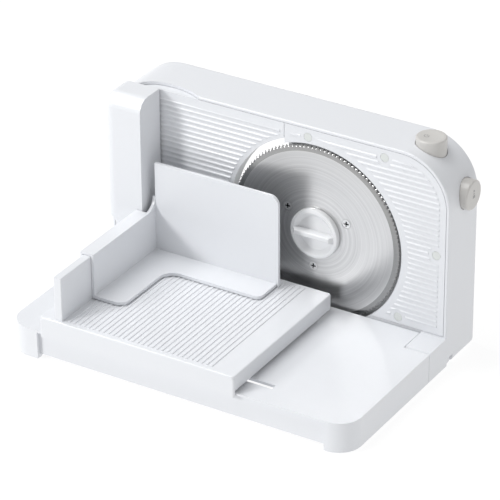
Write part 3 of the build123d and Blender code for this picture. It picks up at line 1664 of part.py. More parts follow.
def guard_screws():
    """Two screws from below the tray into the guard's bosses."""
    length = tray_thickness + screw_head_height + guard_boss_height / 2
    screw = Rotation(90, 0, 0) * plain_screw(screw_head_radius, screw_head_height, length)
    low = tray_under - screw_head_height
    return joined(Pos(across, rear, low) * screw for across, rear in guard_screw_places())


def row_place():
    """Move from the working frame to the origin under the middle of the slicer."""
    high_x = right_side + safety_face
    high_y = housing_depth + thickness_knob_depth + press_gap
    across = (left_side + high_x) / 2
    rear = (high_y - tray_front) / 2
    return Pos(-across, -rear, foot_drop)


def pieces():
    """Every node of the slicer by name."""
    return {
        "housing_shell": housing_shell(),
        "rear_cover": rear_cover(),
        "chassis": chassis(),
        "front_panel": front_panel(),
        "panel_screws": panel_screws(),
        "screw_plugs": screw_plugs(),
        "cover_screws": cover_screws(),
        "front_bush": bush(chassis_front, front_bush_length),
        "rear_bush": bush(cover_inside - rear_bush_length, rear_bush_length),
        "motor": motor(),
        "motor_end_cap": motor_end_cap(),
        "motor_magnets": motor_magnets(),
        "motor_brushes": motor_brushes(),
        "motor_strap": motor_strap(),
        "motor_screws": motor_screws(),
        "worm_bearing": worm_bearing(),
        "start_switch": start_switch(),
        "safety_switch": safety_switch(),
        "start_spring": start_spring(),
        "circuit_board": circuit_board(),
        "cord_gland": cord_gland(),
        "guide_rods": guide_rods(),
        "housing_feet": housing_feet(),
        "hinge_pins": hinge_pins(),
        "blade": blade(),
        "blade_screws": blade_screws(),
        "blade_carrier": blade_carrier(),
        "blade_spindle": blade_spindle(),
        "worm_wheel": worm_wheel(),
        "lock_knob": lock_knob(),
        "worm_shaft": worm_shaft(),
        "motor_armature": motor_armature(),
        "fence_plate": fence_plate(),
        "fence_carrier": fence_carrier(),
        "fence_screws": fence_screws(),
        "thickness_screw": thickness_screw(),
        "thickness_knob": thickness_knob(),
        "screw_clip": screw_clip(),
        "start_button": start_button(),
        "safety_button": safety_button(),
        "base_platform": base_platform(),
        "base_feet": base_feet(),
        "carriage_runner": carriage_runner(),
        "runner_retainer": runner_retainer(),
        "runner_screws": runner_screws(),
        "carriage_tray": carriage_tray(),
        "thumb_guard": thumb_guard(),
        "guard_screws": guard_screws(),
        "pusher": pusher(),
    }


os.makedirs("parts", exist_ok=True)
place = row_place()
for name, piece in pieces().items():
    export_step(place * piece, f"parts/{name}.step")
print("origin moved by", place.position)
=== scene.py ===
import json
import math

import bmesh
import bpy
from mathutils import Matrix, Vector
from mathutils.bvhtree import BVHTree


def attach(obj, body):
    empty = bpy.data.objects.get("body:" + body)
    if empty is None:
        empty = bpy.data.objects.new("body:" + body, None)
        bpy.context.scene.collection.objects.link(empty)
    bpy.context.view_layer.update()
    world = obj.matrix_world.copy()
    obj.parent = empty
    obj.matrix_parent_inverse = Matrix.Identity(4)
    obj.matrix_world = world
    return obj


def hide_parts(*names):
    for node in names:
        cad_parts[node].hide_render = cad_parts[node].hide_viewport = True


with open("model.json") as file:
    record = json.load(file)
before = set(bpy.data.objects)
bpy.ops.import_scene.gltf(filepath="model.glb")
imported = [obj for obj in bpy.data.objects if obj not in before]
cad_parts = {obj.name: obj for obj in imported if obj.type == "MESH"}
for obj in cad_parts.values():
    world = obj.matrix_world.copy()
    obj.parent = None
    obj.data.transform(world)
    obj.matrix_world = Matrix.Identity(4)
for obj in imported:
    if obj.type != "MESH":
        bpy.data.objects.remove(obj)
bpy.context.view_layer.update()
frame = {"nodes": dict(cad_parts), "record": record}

# Lengths are in metres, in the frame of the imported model: X to the right, Y to the back, Z up.

# Photographer's camera, fitted to the slicer's straight edges and to the blade.
CAMERA_PLACE = Vector((1.25796, -2.04813, 1.43029))
CAMERA_AZIMUTH = math.radians(31.50)
CAMERA_ELEVATION = math.radians(29.02)
CAMERA_ROLL = math.radians(-0.36)
CAMERA_LENS = 227.4
CAMERA_SENSOR = 36.0
CAMERA_SHIFT = (0.0006, -0.0024)
CAMERA_REACH = 50.0

# Lamps: place, the point each one is aimed at, the side of its square, and its power.
LAMPS = {
    "key": ((-1.80, -2.42, 1.46), (0.0, -0.05, 0.08), 0.62, 46.0),
    "top": ((-1.20, -0.25, 2.95), (0.0, 0.0, 0.08), 1.8, 52.0),
    "side": ((2.30, -0.30, 2.40), (0.0, 0.0, 0.10), 1.4, 12.0),
}
WHITE = (1.0, 1.0, 1.0, 1.0)
SURROUND_STRENGTH = 0.41
FLOOR_HALF = 6.0
FLOOR_COLOUR = (0.16, 0.16, 0.16, 1.0)
FLOOR_ROUGHNESS = 0.9
FLOOR_GLOW = 0.87

# Vertices nearer than this are joined, in a CAD node's mesh and in one made here.
NODE_WELD = 0.000002
MESH_WELD = 0.000001

# Angles between faces: up to the first they are joined into one, from the second their edge is
# rounded, and up to the others it is shaded smooth.
FLAT = math.radians(0.4)
SHARP = math.radians(35)
SMOOTH = math.radians(28)
SCREW_SMOOTH = math.radians(30)
BLADE_SMOOTH = math.radians(22)

# Pieces whose edges show: the width of the rounding, and its number of steps.
ROUNDED = {
    "housing_shell": (0.0006, 2), "rear_cover": (0.0006, 2), "front_panel": (0.0004, 2),
    "fence_plate": (0.0004, 2), "base_platform": (0.0005, 2), "carriage_tray": (0.0006, 2),
    "thumb_guard": (0.0010, 3), "pusher": (0.0007, 2), "lock_knob": (0.0004, 2),
    "start_button": (0.0005, 2), "safety_button": (0.0005, 2), "thickness_knob": (0.0005, 2),
    "carriage_runner": (0.0003, 1), "cord_gland": (0.0004, 2), "screw_plugs": (0.0001, 1),
    "base_feet": (0.0003, 1), "housing_feet": (0.0003, 1),
}

# Blade: its rings as radius and depth behind the face of the housing, from the hub outwards.
BLADE_AXIS = Vector((0.03735, 0.0, 0.0976))
FACE_Y = 0.05275
BLADE_RADIUS = 0.085
BLADE_TEETH = 130
TOOTH_DEPTH = 0.0018
TOOTH_FLUTE = 0.00040
TOOTH_STEPS = 6
FLUTE_START = 0.0822
BEVEL_START = 0.0786
BORE_RADIUS = 0.009
BORE_STEPS = 65
DISH_RINGS = ((0.044, 0.00270), (0.046, 0.00262), (0.055, 0.00220), (0.066, 0.00167),
              (0.0742, 0.00129))
RIM_RINGS = ((0.0770, 0.00118), (0.0780, 0.00114), (0.0784, 0.00115), (0.0789, 0.00120),
             (0.0806, 0.00143), (0.0822, 0.00166), (0.0836, 0.00187), (0.0850, 0.00210))
REAR_RINGS = ((0.0850, 0.00240), (0.0822, 0.00240), (0.0760, 0.00240))
REAR_FLAT = (0.044, 0.00390)

# Holes of the blade's screws: radius and angle of each about the axis, and the shape of the sink.
BLADE_HOLES = ((0.0345, 28.6), (0.0345, 147.1), (0.0345, 265.5))
HOLE_STEPS = 32
SINK_RADIUS = 0.00450
SINK_DEPTH = 0.00120
SINK_WALL = 0.00080
THROAT_RADIUS = SINK_RADIUS * 0.4

# Screws: a head narrows by this much towards its shank, or towards its top where that is negative.
COUNTERSUNK_SCREW = {"Head Height": 0.0012, "Head Narrowing": 0.0025, "Shank Radius": 0.0015,
                     "Slot Width": 0.0014}
PAN_SCREW = {"Head Height": 0.0020, "Head Narrowing": -0.0006, "Shank Radius": 0.0015,
             "Slot Width": 0.0009}
HEAD_SIDES = 40
SHANK_SIDES = 24
SLOT_LENGTH_SHARE = 1.25
SLOT_DEPTH_SHARE = 1.5

# Sets of screws that can be seen: the way out of their heads, their finish and their kind.
SCREW_SETS = {
    "blade_screws": ("front", "blade_screw_steel", COUNTERSUNK_SCREW),
    "cover_screws": ("rear", "zinc_screw_steel", PAN_SCREW),
    "panel_screws": ("front", "zinc_screw_steel", PAN_SCREW),
    "guard_screws": ("under", "zinc_screw_steel", PAN_SCREW),
    "runner_screws": ("under", "zinc_screw_steel", PAN_SCREW),
}

# Way out of a screw's head: its axis, whether it points up that axis, and the turn from Z.
ACROSS, ALONG, UP = 0, 1, 2
WAYS = {
    "front": (ALONG, False, (math.radians(90), 0.0, 0.0)),
    "rear": (ALONG, True, (math.radians(-90), 0.0, 0.0)),
    "under": (UP, False, (math.radians(180), 0.0, 0.0)),
}

# Prints are thrown onto their piece from this far off, and are two films thick.
PRINT_REACH = 0.05
PRINT_FILM = 0.00004
START_SIGN_PLACE = Vector((0.13235, 0.07845, 0.2000))
SAFETY_SIGN_PLACE = Vector((0.1700, 0.08505, 0.1585))

# Scale round the thickness knob.
DIAL_CENTRE = Vector((-0.12565, 0.10675, 0.1065))
DIAL_NUMBERS = ("0", "3", "6", "9", "12", "15")
DIAL_SWEEP = math.radians(300)
DIAL_TICKS = 16
DIAL_TICK_RADIUS = 0.0280
DIAL_NUMBER_RADIUS = 0.0355
DIAL_NUMBER_HEIGHT = 0.0052
DIAL_NUMBER_STEPS = 4


def grey(value):
    """A neutral colour."""
    return (value, value, value)


# Moulded and printed finishes with a fine grain: colour, its shade, and the range of roughness.
FINE_FINISHES = {
    "white_plastic": ((0.768, 0.783, 0.812), (0.742, 0.760, 0.790), (0.285, 0.35)),
    "inner_plastic": ((0.64, 0.65, 0.66), (0.58, 0.59, 0.60), (0.42, 0.5)),
    "button_plastic": ((0.60, 0.588, 0.568), (0.56, 0.55, 0.53), (0.28, 0.36)),
    "knob_plastic": ((0.80, 0.81, 0.825), (0.78, 0.79, 0.805), (0.12, 0.2)),
    "plug_plastic": ((0.70, 0.725, 0.71), (0.66, 0.69, 0.67), (0.285, 0.35)),
    "black_plastic": (grey(0.03), grey(0.045), (0.4, 0.5)),
    "gear_plastic": ((0.70, 0.69, 0.64), (0.64, 0.63, 0.58), (0.4, 0.5)),
    "board": ((0.05, 0.20, 0.09), (0.04, 0.15, 0.07), (0.285, 0.36)),
    "print_ink": (grey(0.22), grey(0.26), (0.4, 0.5)),
    "sign_ink": (grey(0.30), grey(0.34), (0.4, 0.5)),
}
FINE_GRAIN = 900.0
FINE_BUMP = (0.05, 0.0001)

# Finishes with a coarser, rougher grain.
COARSE_FINISHES = {
    "rubber": (grey(0.05), grey(0.07), (0.7, 0.85)),
    "ferrite": (grey(0.06), grey(0.09), (0.6, 0.75)),
    "carbon": (grey(0.03), grey(0.05), (0.6, 0.7)),
}
COARSE_GRAIN = 400.0
COARSE_BUMP = (0.3, 0.0002)

# Drawn, cast and plated metals.
METAL_FINISHES = {
    "screw_steel": (grey(0.72), grey(0.62), (0.285, 0.38)),
    "blade_screw_steel": (grey(0.84), grey(0.78), (0.285, 0.36)),
    "zinc_screw_steel": ((0.62, 0.64, 0.67), (0.54, 0.56, 0.59), (0.28, 0.4)),
    "ground_steel": (grey(0.6), grey(0.52), (0.285, 0.4)),
    "spring_steel": (grey(0.42), grey(0.36), (0.3, 0.45)),
    "zinc_steel": ((0.60, 0.62, 0.65), (0.5, 0.52, 0.55), (0.35, 0.5)),
    "bronze": ((0.55, 0.36, 0.15), (0.42, 0.27, 0.11), (0.35, 0.5)),
    "copper": ((0.65, 0.3, 0.15), (0.5, 0.22, 0.1), (0.3, 0.4)),
}
METAL_GRAIN = 500.0
METAL_BUMP = (0.1, 0.0001)

# Steel of the blade: fine turned rings, and streaks of the grinding from the bevel outwards.
BLADE_STEEL = {
    "Rings": 420.0, "Light": (0.82, 0.82, 0.82, 1.0), "Dark": (0.48, 0.48, 0.48, 1.0),
    "Gloss Low": 0.285, "Gloss High": 0.36, "Ground From": BEVEL_START,
    "Ground Light": (0.46, 0.46, 0.46, 1.0), "Ground Dark": (0.26, 0.26, 0.26, 1.0),
    "Ground Gloss": 0.29, "Grinding": 240.0,
}
BLADE_BUMP = (0.3, 0.0001)

# Metals of screws with a cross: painted shade darkens them down in it, and faster than it deepens.
CROSSED_METALS = ("blade_screw_steel", "zinc_screw_steel")
CROSS_SHADE_COLOUR = grey(0.02)
CROSS_SHADE_GAIN = 1.6

# Noises of the plastics as scale and detail, and of the blade as detail and roughness.
FLOW_NOISE = (9.0, 3.0)
SPECK_NOISE = (260.0, 4.0)
GRAIN_DETAIL = 2.0
TURNING_NOISE = (6.0, 0.7)
GRINDING_NOISE = (3.0, 0.5)

# Sockets of the node trees.
NUMBER, COUNT, COLOUR = "NodeSocketFloat", "NodeSocketInt", "NodeSocketColor"
PLACE, TURN = "NodeSocketVector", "NodeSocketRotation"
SHAPE, FINISH = "NodeSocketGeometry", "NodeSocketMaterial"
SURFACE_OUTPUTS = (("Color", COLOUR), ("Roughness", NUMBER), ("Height", NUMBER))

# The Mix node repeats the names A, B and Result for each kind of value.
MIX_FACTOR, NUMBER_A, NUMBER_B, COLOUR_A, COLOUR_B = 0, 2, 3, 6, 7
NUMBER_RESULT, COLOUR_RESULT = 0, 2


def place_camera():
    """Look at the slicer as the photograph does."""
    sin_a, cos_a = math.sin(CAMERA_AZIMUTH), math.cos(CAMERA_AZIMUTH)
    sin_e, cos_e = math.sin(CAMERA_ELEVATION), math.cos(CAMERA_ELEVATION)
    back = Vector((sin_a * cos_e, -cos_a * cos_e, sin_e))
    right = Vector((0, 0, 1)).cross(back).normalized()
    up = back.cross(right)
    sin_r, cos_r = math.sin(CAMERA_ROLL), math.cos(CAMERA_ROLL)
    across = right * cos_r + up * sin_r
    rise = up * cos_r - right * sin_r
    data = bpy.data.cameras.new("camera")
    data.lens = CAMERA_LENS
    data.sensor_width = CAMERA_SENSOR
    data.shift_x, data.shift_y = CAMERA_SHIFT
    data.clip_end = CAMERA_REACH
    camera = bpy.data.objects.new("camera", data)
    turn = Matrix((across, rise, back)).transposed().to_4x4()
    camera.matrix_world = Matrix.Translation(CAMERA_PLACE) @ turn
    bpy.context.scene.collection.objects.link(camera)
    bpy.context.scene.camera = camera


def place_lamp(name, place, target, size, power):
    """One soft square lamp aimed at a point."""
    data = bpy.data.lights.new(name, "AREA")
    data.shape = "SQUARE"
    data.size = size
    data.energy = power
    lamp = bpy.data.objects.new(name, data)
    aim = (Vector(target) - Vector(place)).to_track_quat("-Z", "Y")
    lamp.matrix_world = Matrix.Translation(Vector(place)) @ aim.to_matrix().to_4x4()
    bpy.context.scene.collection.objects.link(lamp)


def lay_floor():
    """White floor that glows a little, as the bright cut-out ground of the photograph does."""
    mesh = bpy.data.meshes.new("floor")
    corners = [(across * FLOOR_HALF, along * FLOOR_HALF, 0)
               for across, along in ((-1, -1), (1, -1), (1, 1), (-1, 1))]
    mesh.from_pydata(corners, [], [(0, 1, 2, 3)])
    floor = plain_object("floor", mesh)
    material = bpy.data.materials.new("floor_white")
    material.use_nodes = True
    shader = material.node_tree.nodes["Principled BSDF"]
    shader.inputs["Base Color"].default_value = FLOOR_COLOUR
    shader.inputs["Roughness"].default_value = FLOOR_ROUGHNESS
    shader.inputs["Emission Color"].default_value = WHITE
    shader.inputs["Emission Strength"].default_value = FLOOR_GLOW
    mesh.materials.append(material)


def light_studio():
    """White surroundings, a key lamp from the front left, a wide one above, a weak one right."""
    scene = bpy.context.scene
    scene.view_settings.view_transform = "Standard"
    world = bpy.data.worlds.new("studio")
    world.use_nodes = True
    surround = world.node_tree.nodes["Background"]
    surround.inputs["Color"].default_value = WHITE
    surround.inputs["Strength"].default_value = SURROUND_STRENGTH
    scene.world = world
    for name, (place, target, size, power) in LAMPS.items():
        place_lamp(name, place, target, size, power)
    lay_floor()


def new_tree(name, kind, inputs, outputs):
    """Empty node tree with named inputs and outputs, and the sockets that bring its inputs."""
    tree = bpy.data.node_groups.new(name, kind)
    for label, socket_kind, value in inputs:
        socket = tree.interface.new_socket(label, in_out="INPUT", socket_type=socket_kind)
        if value is not None:
            socket.default_value = value
    for label, socket_kind in outputs:
        tree.interface.new_socket(label, in_out="OUTPUT", socket_type=socket_kind)
    return tree, tree.nodes.new("NodeGroupInput").outputs


def close_tree(tree, results):
    """Lead what a tree has worked out to its outputs."""
    end = tree.nodes.new("NodeGroupOutput")
    for label, value in results.items():
        tree.links.new(value, end.inputs[label])
    return tree


def add_node(tree, kind, inputs, **settings):
    """A node with its settings made and its inputs linked or filled in."""
    node = tree.nodes.new(kind)
    for label, value in settings.items():
        setattr(node, label, value)
    for key, value in inputs.items():
        socket = node.inputs[key]
        if isinstance(value, bpy.types.NodeSocket):
            tree.links.new(value, socket)
        else:
            socket.default_value = value
    return node


def maths(tree, operation, *values):
    """Outcome of a Math node on sockets or numbers."""
    node = add_node(tree, "ShaderNodeMath", dict(enumerate(values)), operation=operation)
    return node.outputs[0]


def mix_colour(tree, factor, first, second):
    """A colour mixed from two."""
    node = add_node(tree, "ShaderNodeMix", {MIX_FACTOR: factor, COLOUR_A: first, COLOUR_B: second},
                    data_type="RGBA")
    return node.outputs[COLOUR_RESULT]


def mix_number(tree, factor, first, second):
    """A number mixed from two."""
    node = add_node(tree, "ShaderNodeMix", {MIX_FACTOR: factor, NUMBER_A: first, NUMBER_B: second},
                    data_type="FLOAT")
    return node.outputs[NUMBER_RESULT]


def spread_between(tree, share, low, high):
    """Low plus a share of the way from low to high."""
    reach = maths(tree, "SUBTRACT", high, low)
    return maths(tree, "ADD", low, maths(tree, "MULTIPLY", reach, share))


def noise(tree, place, scale, detail):
    """Noise at a place."""
    node = add_node(tree, "ShaderNodeTexNoise", {
        "Vector": place, "Scale": scale, "Detail": detail})
    return node.outputs["Fac"]


def line_noise(tree, along, scale, detail, roughness):
    """Noise that changes along one number only."""
    node = add_node(tree, "ShaderNodeTexNoise", {
        "W": along, "Scale": scale, "Detail": detail, "Roughness": roughness},
        noise_dimensions="1D")
    return node.outputs["Fac"]


def moulding_group():
    """Moulded plastic: slow flow marks in the colour, fine grain in gloss and height."""
    group, take = new_tree("moulding", "ShaderNodeTree", (
        ("Color", COLOUR, (0.8, 0.8, 0.8, 1.0)), ("Shade", COLOUR, (0.7, 0.7, 0.7, 1.0)),
        ("Gloss Low", NUMBER, 0.3), ("Gloss High", NUMBER, 0.4),
        ("Grain Scale", NUMBER, 900.0)), SURFACE_OUTPUTS)
    place = add_node(group, "ShaderNodeTexCoord", {}).outputs["Object"]
    flow = noise(group, place, *FLOW_NOISE)
    speck = noise(group, place, *SPECK_NOISE)
    share = maths(group, "MULTIPLY", flow, speck)
    return close_tree(group, {
        "Color": mix_colour(group, share, take["Color"], take["Shade"]),
        "Roughness": spread_between(group, flow, take["Gloss Low"], take["Gloss High"]),
        "Height": noise(group, place, take["Grain Scale"], GRAIN_DETAIL)})


def turning_group():
    """Steel turned about an axis along Y: fine rings, and across the ground bevel fine streaks."""
    group, take = new_tree("turning", "ShaderNodeTree", (
        ("Axis X", NUMBER, 0.0), ("Axis Z", NUMBER, 0.0), ("Rings", NUMBER, 900.0),
        ("Light", COLOUR, (0.8, 0.8, 0.8, 1.0)), ("Dark", COLOUR, (0.6, 0.6, 0.6, 1.0)),
        ("Gloss Low", NUMBER, 0.2), ("Gloss High", NUMBER, 0.4), ("Ground From", NUMBER, 1.0),
        ("Ground Light", COLOUR, (0.5, 0.5, 0.5, 1.0)),
        ("Ground Dark", COLOUR, (0.3, 0.3, 0.3, 1.0)),
        ("Ground Gloss", NUMBER, 0.3), ("Grinding", NUMBER, 120.0)), SURFACE_OUTPUTS)
    place = add_node(group, "ShaderNodeTexCoord", {}).outputs["Object"]
    split = add_node(group, "ShaderNodeSeparateXYZ", {0: place}).outputs
    across = maths(group, "SUBTRACT", split["X"], take["Axis X"])
    rise = maths(group, "SUBTRACT", split["Z"], take["Axis Z"])
    squares = maths(group, "ADD", maths(group, "MULTIPLY", across, across),
                    maths(group, "MULTIPLY", rise, rise))
    radius = maths(group, "SQRT", squares)
    ring = line_noise(group, radius, take["Rings"], *TURNING_NOISE)
    turned = mix_colour(group, ring, take["Dark"], take["Light"])
    gloss = spread_between(group, ring, take["Gloss Low"], take["Gloss High"])

    angle = maths(group, "ARCTAN2", rise, across)
    streak = line_noise(group, angle, take["Grinding"], *GRINDING_NOISE)
    ground = mix_colour(group, streak, take["Ground Dark"], take["Ground Light"])
    beyond = maths(group, "GREATER_THAN", radius, take["Ground From"])
    return close_tree(group, {
        "Color": mix_colour(group, beyond, turned, ground),
        "Roughness": mix_number(group, beyond, gloss, take["Ground Gloss"]),
        "Height": mix_number(group, beyond, ring, streak)})


def cross_shade_group():
    """Painted shade: a darker colour down in a screw's cross, from how deep each vertex was
    marked.
    """
    group, take = new_tree("cross_shade", "ShaderNodeTree", (
        ("Color", COLOUR, (0.8, 0.8, 0.8, 1.0)), ("Painted Shade", COLOUR, (0.1, 0.1, 0.1, 1.0))),
        (("Color", COLOUR),))
    mark = add_node(group, "ShaderNodeAttribute", {}, attribute_name="sunk").outputs["Fac"]
    share = maths(group, "MINIMUM", 1.0, maths(group, "MULTIPLY", mark, CROSS_SHADE_GAIN))
    return close_tree(group, {"Color": mix_colour(group, share, take["Color"], take["Painted Shade"])})


def finish_material(name, group, values, bump, settings):
    """Principled material fed by one surface group, with a bump from its height."""
    material = bpy.data.materials.new(name)
    material.use_nodes = True
    tree = material.node_tree
    shader = tree.nodes["Principled BSDF"]
    surface = add_node(tree, "ShaderNodeGroup", {}, node_tree=group)
    for label, value in values.items():
        surface.inputs[label].default_value = value
    strength, depth = bump
    relief = add_node(tree, "ShaderNodeBump", {
        "Strength": strength, "Distance": depth, "Height": surface.outputs["Height"]})
    tree.links.new(surface.outputs["Color"], shader.inputs["Base Color"])
    tree.links.new(surface.outputs["Roughness"], shader.inputs["Roughness"])
    tree.links.new(relief.outputs["Normal"], shader.inputs["Normal"])
    for label, value in settings.items():
        shader.inputs[label].default_value = value
    return material


def opaque(colour):
    """A colour with its alpha."""
    return (*colour, 1.0)


def grained_finishes(looks, group, grain, bump, settings):
    """Materials of one table of finishes, by name."""
    finishes = {}
    for name, (colour, shade, gloss) in looks.items():
        values = {"Color": opaque(colour), "Shade": opaque(shade), "Gloss Low": gloss[0],
                  "Gloss High": gloss[1], "Grain Scale": grain}
        finishes[name] = finish_material(name, group, values, bump, settings)
    return finishes


def shade_crosses(material, group):
    """Paint shade on a screw's metal down in its cross."""
    tree = material.node_tree
    socket = tree.nodes["Principled BSDF"].inputs["Base Color"]
    shadow = add_node(tree, "ShaderNodeGroup", {}, node_tree=group)
    shadow.inputs["Painted Shade"].default_value = opaque(CROSS_SHADE_COLOUR)
    tree.links.new(socket.links[0].from_socket, shadow.inputs["Color"])
    tree.links.new(shadow.outputs["Color"], socket)


def make_finishes():
    """Every finish of the slicer by name."""
    moulding, cross_shade = moulding_group(), cross_shade_group()
    blade_values = {"Axis X": BLADE_AXIS.x, "Axis Z": BLADE_AXIS.z, **BLADE_STEEL}
    finishes = {"blade_steel": finish_material("blade_steel", turning_group(), blade_values,
                                               BLADE_BUMP, {"Metallic": 1.0})}
    finishes |= grained_finishes(FINE_FINISHES, moulding, FINE_GRAIN, FINE_BUMP, {"IOR": 1.5})
    finishes |= grained_finishes(COARSE_FINISHES, moulding, COARSE_GRAIN, COARSE_BUMP,
                                 {"IOR": 1.5})
    finishes |= grained_finishes(METAL_FINISHES, moulding, METAL_GRAIN, METAL_BUMP,
                                 {"Metallic": 1.0})
    for name in CROSSED_METALS:
        shade_crosses(finishes[name], cross_shade)
    return finishes


def paint(obj, material):
    """Give a piece one material."""
    obj.data.materials.clear()
    obj.data.materials.append(material)
    for polygon in obj.data.polygons:
        polygon.material_index = 0


def plain_object(name, data):
    """Link a mesh or a text as an object at the origin."""
    obj = bpy.data.objects.new(name, data)
    bpy.context.scene.collection.objects.link(obj)
    return obj


def evaluated_mesh(obj):
    """Plain mesh of an object as its modifiers leave it."""
    graph = bpy.context.evaluated_depsgraph_get()
    return bpy.data.meshes.new_from_object(obj.evaluated_get(graph), depsgraph=graph)


def applied(obj):
    """Turn an object's modifiers into a plain mesh and drop them."""
    mesh = evaluated_mesh(obj)
    obj.modifiers.clear()
    old = obj.data
    obj.data = mesh
    if old.users == 0:
        bpy.data.meshes.remove(old)
    return obj


def mesh_object(name, work):
    """Object at the origin from a mesh in work, which is used up."""
    mesh = bpy.data.meshes.new(name)
    work.to_mesh(mesh)
    work.free()
    return plain_object(name, mesh)


def smooth_by_angle(obj, angle):
    """Smooth shading with sharp edges marked where two faces meet at more than an angle."""
    obj.data.shade_smooth()
    obj.data.set_sharp_from_angle(angle=angle)
    weigh = obj.modifiers.new("weigh", "WEIGHTED_NORMAL")
    weigh.mode = "FACE_AREA"
    weigh.keep_sharp = True
    applied(obj)


def welded(mesh):
    """A mesh in work, from a CAD node's, with its vertices joined."""
    work = bmesh.new()
    work.from_mesh(mesh)
    bmesh.ops.remove_doubles(work, verts=work.verts, dist=NODE_WELD)
    return work


def rounded_copy(node, width, segments):
    """Copy of a CAD node with its vertices joined, flat faces whole and sharp edges rounded."""
    work = welded(frame["nodes"][node].data)
    if not width:
        return mesh_object(node + "_skin", work)
    bmesh.ops.dissolve_limit(work, angle_limit=FLAT, verts=work.verts, edges=work.edges)
    skin = mesh_object(node + "_skin", work)
    bevel = skin.modifiers.new("round", "BEVEL")
    bevel.width = width
    bevel.segments = segments
    bevel.limit_method = "ANGLE"
    bevel.angle_limit = SHARP
    bevel.use_clamp_overlap = True
    return applied(skin)


def body_of_node(node):
    """The body that a node rides on."""
    for body, nodes in frame["record"]["behaviour"]["bodies"].items():
        if node in nodes:
            return body
    raise ValueError(node)


def slot_of_node(node):
    """The material slot of a node in the record."""
    for entry in frame["record"]["subparts"]:
        if entry["node"] == node:
            return entry["material_slot"]
    raise ValueError(node)


def stand_for(piece, node):
    """Show a piece in place of a CAD node, on its body."""
    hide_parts(node)
    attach(piece, body_of_node(node))


def dress_nodes(finishes):
    """Round the edges of the pieces that show, smooth the others and give each its finish."""
    skins = {}
    for node in frame["nodes"]:
        if node in SCREW_SETS or node == "blade":
            continue
        width, segments = ROUNDED.get(node, (0, 0))
        skin = rounded_copy(node, width, segments)
        smooth_by_angle(skin, SMOOTH)
        paint(skin, finishes[slot_of_node(node)])
        stand_for(skin, node)
        skins[node] = skin
    return skins


def vector(tree, across=0.0, along=0.0, rise=0.0):
    """A vector from three sockets or numbers."""
    return add_node(tree, "ShaderNodeCombineXYZ", {0: across, 1: along, 2: rise}).outputs[0]


def moved_up(tree, shape, rise):
    """A shape moved along Z."""
    return add_node(tree, "GeometryNodeTransform", {
        "Geometry": shape, "Translation": vector(tree, rise=rise)}).outputs[0]


def union(tree, first, second):
    """Two shapes made one."""
    node = add_node(tree, "GeometryNodeMeshBoolean", {"Mesh 2": first}, operation="UNION")
    tree.links.new(second, node.inputs["Mesh 2"])
    return node.outputs["Mesh"]


def close_shape_tree(tree, shape, finish):
    """End a tree: make its instances real and give them their finish."""
    real = add_node(tree, "GeometryNodeRealizeInstances", {"Geometry": shape})
    painted = add_node(tree, "GeometryNodeSetMaterial",
                       {"Geometry": real.outputs[0], "Material": finish})
    return close_tree(tree, {"Geometry": painted.outputs[0]})


def cross_screw_tree():
    """Screws with a cross recess, one at each vertex, their heads pointing along Turn's Z."""
    tree, take = new_tree("cross_screw_set", "GeometryNodeTree", (
        ("Geometry", SHAPE, None), ("Head Radius", NUMBER, 0.004), ("Head Height", NUMBER, 0.001),
        ("Head Narrowing", NUMBER, 0.0), ("Shank Radius", NUMBER, 0.0015),
        ("Length", NUMBER, 0.01), ("Slot Width", NUMBER, 0.001), ("Turn", TURN, None),
        ("Finish", FINISH, None)), (("Geometry", SHAPE),))
    height, narrowing, width = take["Head Height"], take["Head Narrowing"], take["Slot Width"]
    widening = maths(tree, "MULTIPLY", narrowing, -1.0)
    bottom = maths(tree, "SUBTRACT", take["Head Radius"], maths(tree, "MAXIMUM", 0.0, narrowing))
    top = maths(tree, "SUBTRACT", take["Head Radius"], maths(tree, "MAXIMUM", 0.0, widening))
    head = add_node(tree, "GeometryNodeMeshCone", {
        "Vertices": HEAD_SIDES, "Radius Top": top, "Radius Bottom": bottom, "Depth": height})
    head = moved_up(tree, head.outputs["Mesh"], maths(tree, "MULTIPLY", height, -1.0))
    reach = maths(tree, "SUBTRACT", take["Length"], maths(tree, "MULTIPLY", height, 0.5))
    shank = add_node(tree, "GeometryNodeMeshCylinder", {
        "Vertices": SHANK_SIDES, "Radius": take["Shank Radius"], "Depth": reach})
    middle = maths(tree, "SUBTRACT", maths(tree, "MULTIPLY", reach, 0.5), take["Length"])
    shank = moved_up(tree, shank.outputs["Mesh"], middle)

    slot_length = maths(tree, "MULTIPLY", take["Head Radius"], SLOT_LENGTH_SHARE)
    slot_depth = maths(tree, "MULTIPLY", width, SLOT_DEPTH_SHARE)
    bars = [add_node(tree, "GeometryNodeMeshCube", {"Size": size}).outputs["Mesh"]
            for size in (vector(tree, slot_length, width, slot_depth),
                         vector(tree, width, slot_length, slot_depth))]
    screw = add_node(tree, "GeometryNodeMeshBoolean", {
        "Mesh 1": union(tree, head, shank), "Mesh 2": union(tree, *bars)},
        operation="DIFFERENCE")

    # Mark each vertex by its depth in the cross; the screws' finish paints shade from this mark.
    place = add_node(tree, "GeometryNodeInputPosition", {}).outputs[0]
    rise = add_node(tree, "ShaderNodeSeparateXYZ", {0: place}).outputs["Z"]
    depth = maths(tree, "DIVIDE", rise, maths(tree, "MULTIPLY", slot_depth, -0.5))
    sunk = maths(tree, "MINIMUM", 1.0, maths(tree, "MAXIMUM", 0.0, depth))
    marked = add_node(tree, "GeometryNodeStoreNamedAttribute", {
        "Geometry": screw.outputs["Mesh"], "Name": "sunk", "Value": sunk},
        data_type="FLOAT", domain="POINT")
    copies = add_node(tree, "GeometryNodeInstanceOnPoints", {
        "Points": take["Geometry"], "Instance": marked.outputs[0], "Rotation": take["Turn"]})
    return close_shape_tree(tree, copies.outputs[0], take["Finish"])


